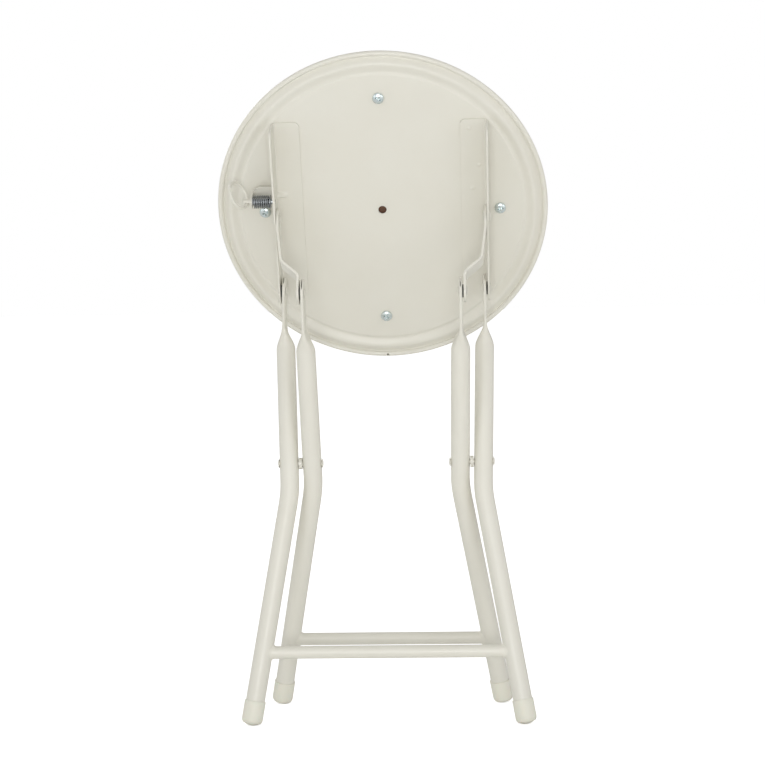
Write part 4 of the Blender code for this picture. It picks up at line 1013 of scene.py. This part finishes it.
def screw_mesh(sizes):
    """Pan-head screw with a cross recess whose arms slope to its middle."""
    r, h = sizes.head_radius, sizes.head_height
    head = [(0, GAP + h)] + [(r * s ** 0.9, GAP + h * (0.18 + 0.82 * c ** 0.8))
                             for c, s in arc(0, 90, 12)[1:]]
    shank_r, shank_end, tip = 2.3 * MM, -10.0 * MM, -12.0 * MM
    head += [(r, GAP + 0.1 * h), (0.97 * r, GAP), (shank_r, GAP), (shank_r, shank_end), (0, tip)]
    mesh = turned(head, 48)
    half, width, top = 3.2 * MM, 0.72 * MM, GAP + h
    shallow, deep = 0.5 * MM, 2.1 * MM
    cutters = []
    for arm in range(2):
        bm = bmesh.new()
        for x, depth in ((-half, shallow), (-0.45 * half, deep), (0.45 * half, deep),
                         (half, shallow)):
            for y in (-width, width):
                bm.verts.new((x, y * (1.0 if depth == deep else 0.8), top - depth))
                bm.verts.new((x, y * 1.15, top + 2 * MM))
        bmesh.ops.convex_hull(bm, input=bm.verts)
        bmesh.ops.recalc_face_normals(bm, faces=bm.faces)
        bmesh.ops.rotate(bm, verts=bm.verts, matrix=Matrix.Rotation(arm * math.pi / 2, 3, "Z"))
        cutters.append(mesh_of(bm))
    return drilled(mesh, cutters)


class STOOL_OT_screws(bpy.types.Operator):
    """Sets the plated screws round the pan"""
    bl_idname = "stool.screws"
    bl_label = "Seat screws"

    def execute(self, context):
        sizes = context.scene.stool_sizes
        count = sizes.screw_count
        mesh = placed_fasteners(context, screw_mesh(sizes), "zinc", **{
            "Count": count, "Circle Radius": RAIL_OUTER + SCREW_CLEARANCE + sizes.head_radius,
            "Circle Step": math.tau / count, "First Spin": 0.1 * math.pi,
            "Spin Step": 0.25 * math.pi})
        finished(context, "seat_screw_set", mesh, SEAT, "seat", "zinc",
                 [f"seat_screw_{k + 1}" for k in range(4)])
        return {"FINISHED"}


# ---------------------------------------------------------------------------------------------
# Rails and links

RAIL_TOP = 94.5 * MM
RAIL_BOTTOM = -SEAT_PIVOT_DROP - 12.8 * MM
RAIL_FOOT_CORNER = 4.5 * MM
RAIL_CORNER = 12.0 * MM
RAIL_BEND = 2.6 * MM
PIN_HOLE = 2.8 * MM         # radius of the lock pin's hole in a rail and a link
PAINT_GAP = 0.02 * MM       # between a rail's painted foot and the pan
FOOT_STEPS = 26
WELD_RADIUS, WELD_HEIGHT = 2.6 * MM, 0.8 * MM
WELD_MARKS = {"right": ((87.8, 85.6), (90.8, 22.4), (97.0, 46.6)), "left": ()}


def corner_cut(radius, distance):
    away = max(radius - distance, 0.0)
    return radius - math.sqrt(radius ** 2 - away ** 2)


def rail_stations():
    ends = [RAIL_CORNER * (1 - c) for c, _ in arc(0, 90, 14)]
    middle = spread(RAIL_BOTTOM + RAIL_CORNER, RAIL_TOP - RAIL_CORNER, 190)[1:-1]
    return ([RAIL_BOTTOM + e for e in ends] + middle + [RAIL_TOP - e for e in reversed(ends)])


def rail_row(sizes, s, name):
    """One row of the rail's middle surface at a place along it, as (across, height)."""
    from_end = max(min(s - RAIL_BOTTOM, RAIL_TOP - s), 0.0)
    foot = PAINT_GAP + sizes.rail_sheet / 2
    wall = RAIL_OUTER - sizes.rail_sheet / 2
    inner_edge = RAIL_OUTER - sizes.rail_width + corner_cut(RAIL_FOOT_CORNER, from_end)
    top = sizes.rail_height - corner_cut(RAIL_CORNER, from_end)
    row = [(x, foot) for x in spread(inner_edge, wall - RAIL_BEND, FOOT_STEPS)]
    row += [(wall - RAIL_BEND * (1 - sine), foot + RAIL_BEND * (1 - cosine))
            for cosine, sine in arc(0, 90, 8)[1:]]
    row += [(wall, h) for h in spread(foot + RAIL_BEND, top, 26)[1:]]
    for mark_x, mark_s in WELD_MARKS[name]:
        for index, (x, h) in enumerate(row[:FOOT_STEPS + 1]):
            near = ((x - mark_x * MM) ** 2 + (s - mark_s * MM) ** 2) / WELD_RADIUS ** 2
            if near < 1:
                row[index] = (x, h + WELD_HEIGHT * (1 - near) ** 2)
    if name == "left":
        row = darted(row, s, foot, wall)
    return row


def darted(row, s, foot, wall):
    """Presses a stiffening dart across the rail's inner corner, near the lock pin."""
    away = abs(s - (PIN_S - 1.4 * MM)) / (3.0 * MM)
    if away >= 1:
        return row
    push = (1 - away ** 2) ** 1.5
    start = Vector((RAIL_INNER - 10.5 * MM, foot))
    end = Vector((wall, GAP + 8.3 * MM))
    inside = [k for k, (x, h) in enumerate(row) if x > start.x and h < end.y]
    result = list(row)
    for order, k in enumerate(inside):
        chord = start.lerp(end, (order + 1) / (len(inside) + 1))
        result[k] = tuple(Vector(row[k]).lerp(chord, push))
    return result


class STOOL_OT_rails(bpy.types.Operator):
    """Makes the two L-shaped rails under the pan"""
    bl_idname = "stool.rails"
    bl_label = "Rails"

    def execute(self, context):
        sizes = context.scene.stool_sizes
        for name, side in SIDES:
            rows = [[(side * x, s, h) for x, h in rail_row(sizes, s, name)]
                    for s in rail_stations()]
            mesh = sheet_piece(rows, sizes.rail_sheet, 0.75 * MM)
            if side < 0:
                place = Matrix.Translation((0, PIN_S, SEAT_PIVOT_HEIGHT)) @ across(side)
                mesh = drilled(mesh, [cylinder(PIN_HOLE, 95 * MM, 115 * MM, place)])
            finished(context, f"rail_{name}_pressing", mesh, SEAT, "seat", "cream_paint",
                     [f"rail_{name}"], math.radians(40))
        return {"FINISHED"}


def link_across(t):
    """Distance of a link's middle from the stool's middle plane, t below its upper pivot."""
    knots = [(-20, 0), (14, 0), (48, -4.2), (62.5, -21), (100, -21)]   # in mm: (below, outwards)

    def straight(t_mm):
        for (t0, x0), (t1, x1) in zip(knots, knots[1:]):
            if t_mm <= t1:
                return x0 + (x1 - x0) * (t_mm - t0) / (t1 - t0)
        return knots[-1][1]

    reach = 2.6                                       # the bends are eased over this far
    samples = [straight(t / MM + reach * k / 4) for k in range(-4, 5)]
    return LINK_UPPER + sum(samples) / len(samples) * MM


class STOOL_OT_links(bpy.types.Operator):
    """Makes the two joggled links"""
    bl_idname = "stool.links"
    bl_label = "Links"

    def execute(self, context):
        sizes = context.scene.stool_sizes
        half = sizes.link_half_width
        ends = [half * s for _, s in arc(0, ROUND_END, 16)]
        stations = ([-end for end in reversed(ends)] + spread(0, LINK_PITCH, 90)[1:-1]
                    + [LINK_PITCH + end for end in ends])
        for name, side in SIDES:
            rows = []
            for t in stations:
                past = max(-t, t - LINK_PITCH, 0.0)
                wide = math.sqrt(max(half ** 2 - past ** 2, 0.0))
                x = link_across(t)
                rows.append([(side * x, y, -t) for y in spread(-wide, wide, 12)])
            mesh = sheet_piece(rows, sizes.link_sheet, 0.4 * MM)
            if side < 0:
                place = Matrix.Translation((0, 0, -PIN_ABOVE_LINK_PIVOT)) @ across(side)
                mesh = drilled(mesh, [cylinder(PIN_HOLE, 90 * MM, 112 * MM, place)])
            finished(context, f"link_{name}_strip", mesh, LINK_AXIS, f"{name}_link", "cream_paint",
                     [f"link_{name}"], math.radians(40))
        return {"FINISHED"}


# ---------------------------------------------------------------------------------------------
# Rivets, washers and spacers


def rivet(head_face, head_r, head_h, tail_face, tail_r, tail_h):
    """Profile of a rivet: domed head outside, shank, and a formed tail inside."""
    points = [(0, head_face + head_h)]
    points += [(head_r * s, head_face + head_h * c ** 0.8) for c, s in arc(0, 90, 10)[1:]]
    points += [(head_r * 0.99, head_face), (RIVET_R, head_face), (RIVET_R, tail_face)]
    if tail_h:
        points.append((tail_r * 0.99, tail_face))
        points += [(tail_r * s, tail_face - tail_h * c ** 0.8) for c, s in arc(90, 0, 10)]
    else:
        points.append((0, tail_face))
    return points


def washer(radius, near, far):
    edge = 0.15 * MM
    hole = RIVET_R + 0.3 * MM
    return [(hole, far - edge), (hole + edge, far), (radius - edge, far), (radius, far - edge),
            (radius, near + edge), (radius - edge, near), (hole + edge, near), (hole, near + edge)]


def joined(pieces):
    """One mesh of several turned profiles, each given as (profile, closed)."""
    bm = bmesh.new()
    for profile, closed in pieces:
        piece = turned(profile, 48, closed)
        bm.from_mesh(piece)
        bpy.data.meshes.remove(piece)
    return mesh_of(bm)


def fastener_sets():
    """Each set as (name, body, finish, pivot frame, sides, parts, nodes)."""
    low, high, tail = 1.2 * MM, 1.9 * MM, 1.4 * MM      # heights of heads and tails
    head_r, tail_r, disc_r, spacer_r = 5.2 * MM, 4.6 * MM, 6.5 * MM, 5.75 * MM
    tube, tab, strip = 9.5 * MM, 1.5 * MM, 1.15 * MM    # halves of what they hold together
    outer, inner = FRAMES
    past_tube = tube + spacer_r * math.tan(outer.lean) + GAP
    outer_x, inner_x = outer.upper(0), inner.upper(0)
    crossing = [(rivet(outer_x + past_tube, tail_r, low, inner_x - past_tube, tail_r, tail), False),
                (washer(spacer_r, inner_x + past_tube, outer_x - past_tube), True)]
    seat_head = [(rivet(RAIL_OUTER + GAP, head_r, low, OUTER_TAB - tab - GAP, tail_r, tail), False)]
    seat_washer = [(washer(disc_r, OUTER_TAB + tab + GAP, RAIL_INNER - GAP), True)]
    link_head = [(rivet(RAIL_OUTER + GAP, head_r, high, LINK_UPPER - strip - GAP, tail_r, tail),
                  False)]
    knee = [(rivet(LINK_LOWER + strip + GAP, head_r, low, INNER_TAB + tab + GAP, RIVET_R, 0),
             False)]
    knee_washer = [(washer(disc_r, INNER_TAB + tab + GAP, LINK_LOWER - strip - GAP), True)]
    knee_tail = [(rivet(INNER_TAB + tab, RIVET_R, 0.1 * MM, INNER_TAB - tab - GAP, tail_r, tail),
                  False)]
    link_top = SEAT_AXIS @ Matrix.Translation((0, LINK_PITCH, 0))
    link_low = LINK_AXIS @ Matrix.Translation((0, 0, -LINK_PITCH))
    inner_top = INNER_AXIS @ Matrix.Translation((0, 0, UPPER_REACH))
    both = ("right", "left")

    def pair(stem):
        return [f"{stem}_{name}" for name in both]

    sets = [
        ("crossing_rivets", "outer_frame", "cream_paint", OUTER_AXIS, both, crossing,
         pair("crossing_rivet") + pair("crossing_spacer")),
        ("seat_rivets", "seat", "cream_paint", SEAT_AXIS, both, seat_head, pair("seat_rivet")),
        ("seat_washers", "seat", "zinc", SEAT_AXIS, both, seat_washer, pair("seat_washer")),
        ("link_rivets", "seat", "cream_paint", link_top, both, link_head, pair("link_rivet")),
        ("knee_tails", "inner_frame", "cream_paint", inner_top, both, knee_tail, pair("knee_tail")),
    ]
    for name in both:
        sets.append((f"knee_rivet_{name}_head", f"{name}_link", "cream_paint", link_low, (name,),
                     knee, [f"knee_rivet_{name}"]))
        sets.append((f"knee_washer_{name}_disc", f"{name}_link", "zinc", link_low, (name,),
                     knee_washer, [f"knee_washer_{name}"]))
    return sets


class STOOL_OT_rivets(bpy.types.Operator):
    """Sets the rivets, spacers and washers at the pivots, the washers near black as painted shade
    """
    bl_idname = "stool.rivets"
    bl_label = "Rivets and washers"

    def execute(self, context):
        # The washers' slot is zinc, as in the model, but they are drawn near black: painted shade
        # for the gaps beside the tabs
        for name, body, slot, place, sides, parts, nodes in fastener_sets():
            first = math.pi / 2 if sides[0] == "right" else -math.pi / 2
            mesh = placed_fasteners(context, joined(parts), slot, **{
                "Count": len(sides), "First Tilt": first, "Tilt Step": -math.pi})
            finished(context, name, mesh, place, body, slot, nodes,
                     look="shade_black" if slot == "zinc" else None)
        return {"FINISHED"}


# ---------------------------------------------------------------------------------------------
# Pull pin lock

EAR = 127.0 * MM            # inner face of the bracket's ear
LOCK_SHEET = 1.3 * MM
WEB_DROP = 13.0 * MM
ROD_R = 3.0 * MM
COLLAR = RAIL_OUTER + GAP + 2.4 * MM
COLLAR_END = COLLAR + 1.0 * MM
COLLAR_R = 6.8 * MM
NOSE_R = 2.5 * MM
RING_HOLE = EAR + LOCK_SHEET + GAP + 2.4 * MM + 1.5 * MM
RING_ROLL = math.radians(-60.0)
RING_TILT = math.radians(57.0)


def ring_directions():
    hole = Vector((0, math.cos(RING_ROLL), math.sin(RING_ROLL)))
    side = Vector((0, -math.sin(RING_ROLL), math.cos(RING_ROLL)))
    centre = Vector((-math.cos(RING_TILT), 0, 0)) + side * math.sin(RING_TILT)
    return hole, centre


class STOOL_OT_lock_bracket(bpy.types.Operator):
    """Makes the bracket whose ear guides the lock pin"""
    bl_idname = "stool.lock_bracket"
    bl_label = "Lock bracket"

    def execute(self, context):
        middle = -WEB_DROP - LOCK_SHEET / 2
        ear_x = EAR + LOCK_SHEET / 2
        crown = 6.4 * MM
        bend = 2 * MM
        neck = 121.5 * MM                             # the web narrows from here to the ear
        line = [(x, middle) for x in spread(RAIL_OUTER + GAP, ear_x - bend, 30)]
        line += [(ear_x - bend * (1 - s), middle + bend * (1 - c)) for c, s in arc(0, 90, 8)[1:]]
        line += [(ear_x, h) for h in spread(middle + bend, 0, 16)[1:]]
        line += [(ear_x, crown * s) for _, s in arc(0, ROUND_END, 14)[1:]]
        rows = []
        for x, h in line:
            narrow = ease(min(max((x - neck) / (ear_x - neck), 0.0), 1.0))
            low = -7.5 * MM + 1.1 * MM * narrow
            high = 10.5 * MM - 4.1 * MM * narrow
            if h > 0:
                high = math.sqrt(max(crown ** 2 - h ** 2, 0.0))
                low = -high
            rows.append([(-x, s, h) for s in spread(low, high, 16)])
        mesh = sheet_piece(rows, LOCK_SHEET, 0.25 * MM)
        mesh = drilled(mesh, [cylinder(ROD_R + 0.3 * MM, 120 * MM, 135 * MM, across(-1))])
        finished(context, "lock_bracket_pressing", mesh, PIN_AXIS, "seat", "cream_paint",
                 ["lock_bracket"], math.radians(40))
        return {"FINISHED"}


class STOOL_OT_lock_pin(bpy.types.Operator):
    """Makes the sliding pin and its pull ring"""
    bl_idname = "stool.lock_pin"
    bl_label = "Lock pin and ring"

    def execute(self, context):
        sizes = context.scene.stool_sizes
        hole_r = sizes.ring_wire + 0.6 * MM
        end = RING_HOLE + hole_r + 1.3 * MM
        mesh = turned(rounded([
            (0, end), (ROD_R, end), (ROD_R, EAR), (ROD_R, COLLAR_END), (COLLAR_R, COLLAR_END),
            (COLLAR_R, COLLAR), (NOSE_R, COLLAR), (NOSE_R, RAIL_INNER), (0, RAIL_INNER)],
            0.4 * MM), 64)
        mesh.transform(across(-1))
        hole, centre = ring_directions()
        at = Matrix.Translation((-RING_HOLE, 0, 0))
        facing = hole.to_track_quat("Z", "Y").to_matrix().to_4x4()
        mesh = drilled(mesh, [cylinder(hole_r, -8 * MM, 8 * MM, at @ facing)])
        painted = [face.index for face in mesh.polygons if face.center.x < -EAR]
        rod = finished(context, "lock_pin_rod", mesh, PIN_AXIS, "lock", "spring_steel",
                       ["lock_pin"])
        rod.data.materials.append(finish(context, "cream_paint"))
        for index in painted:
            rod.data.polygons[index].material_index = 1

        wire = [(sizes.ring_radius + x, y) for x, y in circle(sizes.ring_wire, 24)]
        mesh = carried_round(context, wire, 96, "cream_paint")
        basis = Matrix((hole, centre, hole.cross(centre))).transposed().to_4x4()
        middle = Matrix.Translation(Vector((-RING_HOLE, 0, 0)) + centre * sizes.ring_radius)
        finished(context, "lock_ring_wire", mesh, PIN_AXIS @ middle @ basis, "lock", "cream_paint",
                 ["lock_ring"])
        return {"FINISHED"}


class STOOL_OT_lock_spring(bpy.types.Operator):
    """Winds the lock's spring between its collar and the ear"""
    bl_idname = "stool.lock_spring"
    bl_label = "Lock spring"

    def execute(self, context):
        sizes = context.scene.stool_sizes
        start = COLLAR_END + GAP + sizes.coil_wire
        end = EAR - GAP - sizes.coil_wire
        mesh = grown(spring_tree(), {
            "Turns": sizes.coil_turns, "Coil Radius": sizes.coil_radius,
            "Wire Radius": sizes.coil_wire, "Length": end - start,
            "Closed Pitch": 2.06 * sizes.coil_wire,
            "Closed Share": 0.6 / sizes.coil_turns, "Material": finish(context, "spring_steel")})
        mesh.transform(across(-1) @ Matrix.Translation((0, 0, start)))
        spring = finished(context, "lock_spring_coil", mesh, PIN_AXIS, None, "spring_steel",
                          ["lock_spring"], math.radians(60))
        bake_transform(spring)
        return {"FINISHED"}


# ---------------------------------------------------------------------------------------------
# Stage


FLOOR_SIZE = 16.0
LAMPS = (                   # name, place, aim, size and watts of each soft lamp
    ("front_softbox", (0.02, -2.1, 0.28), (0, 0, 0.33), 0.8, 10.5),
    ("left_softbox", (-1.4, -1.7, 0.6), (0, 0, 0.35), 1.4, 3.5),
    ("right_softbox", (1.5, -1.6, 0.4), (0, 0, 0.3), 1.4, 5),
    ("rear_softbox", (-1.1, 1.7, 1.2), (0, 0, 0.4), 0.9, 9),
)
CAMERA_PLACE = (0.0962991, -1.992449, 0.5059298)
CAMERA_TURNS = ((0.05, "Z"), (-0.0863, "X"), (0.0188, "Y"), (math.pi / 2, "X"))
FOCAL_LENGTH, SENSOR_WIDTH = 93.348, 36.0


def soft_lamp(name, place, aim, size, watts):
    lamp = bpy.data.lights.new(name, "AREA")
    lamp.shape = "DISK"
    lamp.size = size
    lamp.energy = watts
    obj = new_object(name, lamp)
    obj.location = place
    obj.rotation_euler = (Vector(aim) - Vector(place)).to_track_quat("-Z", "Y").to_euler()


class STOOL_OT_stage(bpy.types.Operator):
    """Lays the paper floor and sets the soft lamps, the white surround and the camera"""
    bl_idname = "stool.stage"
    bl_label = "Floor, light and camera"

    def execute(self, context):
        scene = context.scene
        bm = bmesh.new()
        bmesh.ops.create_grid(bm, x_segments=8, y_segments=8, size=FLOOR_SIZE / 2)
        floor = new_object("paper_floor", mesh_of(bm))
        floor.data.materials.append(finish(context, "paper"))

        world = bpy.data.worlds.new("white_surround")
        scene.world = world
        world.use_nodes = True
        tree = world.node_tree
        tree.nodes.clear()
        sky = add_node(tree, "ShaderNodeBackground", {"Color": (1, 1, 1, 1),
                                                      "Strength": surround(tree)})
        add_node(tree, "ShaderNodeOutputWorld", {"Surface": sky})

        for lamp in LAMPS:
            soft_lamp(*lamp)

        camera = bpy.data.cameras.new("photo_camera")
        camera.sensor_width = SENSOR_WIDTH
        camera.lens = FOCAL_LENGTH
        scene.camera = new_object("photo_camera", camera)
        look = Matrix.Translation(CAMERA_PLACE)
        for angle, axis in CAMERA_TURNS:
            look = look @ Matrix.Rotation(angle, 4, axis)
        scene.camera.matrix_world = look
        scene.view_settings.view_transform = "Standard"
        return {"FINISHED"}


OPERATORS = (
    STOOL_OT_legs, STOOL_OT_crossbars, STOOL_OT_foot_caps, STOOL_OT_seat_pan, STOOL_OT_board,
    STOOL_OT_cushion, STOOL_OT_screws, STOOL_OT_rails, STOOL_OT_links, STOOL_OT_rivets,
    STOOL_OT_lock_bracket, STOOL_OT_lock_pin, STOOL_OT_lock_spring, STOOL_OT_stage,
)


class STOOL_PT_sidebar(bpy.types.Panel):
    """Lists the stool's sizes, colours and pieces"""
    bl_idname = "STOOL_PT_sidebar"
    bl_label = "Folding stool"
    bl_space_type = "VIEW_3D"
    bl_region_type = "UI"
    bl_category = "Stool"

    def draw(self, context):
        layout = self.layout
        for group in (context.scene.stool_sizes, context.scene.stool_finishes):
            box = layout.box()
            for name in group.__annotations__:
                box.prop(group, name)
        column = layout.column()
        for operator in OPERATORS:
            column.operator(operator.bl_idname)


CLASSES = (STOOL_PG_sizes, STOOL_PG_finishes, STOOL_PT_sidebar) + OPERATORS


def register():
    for cls in CLASSES:
        bpy.utils.register_class(cls)
    bpy.types.Scene.stool_sizes = PointerProperty(type=STOOL_PG_sizes)
    bpy.types.Scene.stool_finishes = PointerProperty(type=STOOL_PG_finishes)


def unregister():
    del bpy.types.Scene.stool_finishes
    del bpy.types.Scene.stool_sizes
    for cls in reversed(CLASSES):
        bpy.utils.unregister_class(cls)


def main():
    register()
    for operator in OPERATORS:
        group, name = operator.bl_idname.split(".")
        getattr(getattr(bpy.ops, group), name)()


if __name__ == "__main__":
    main()
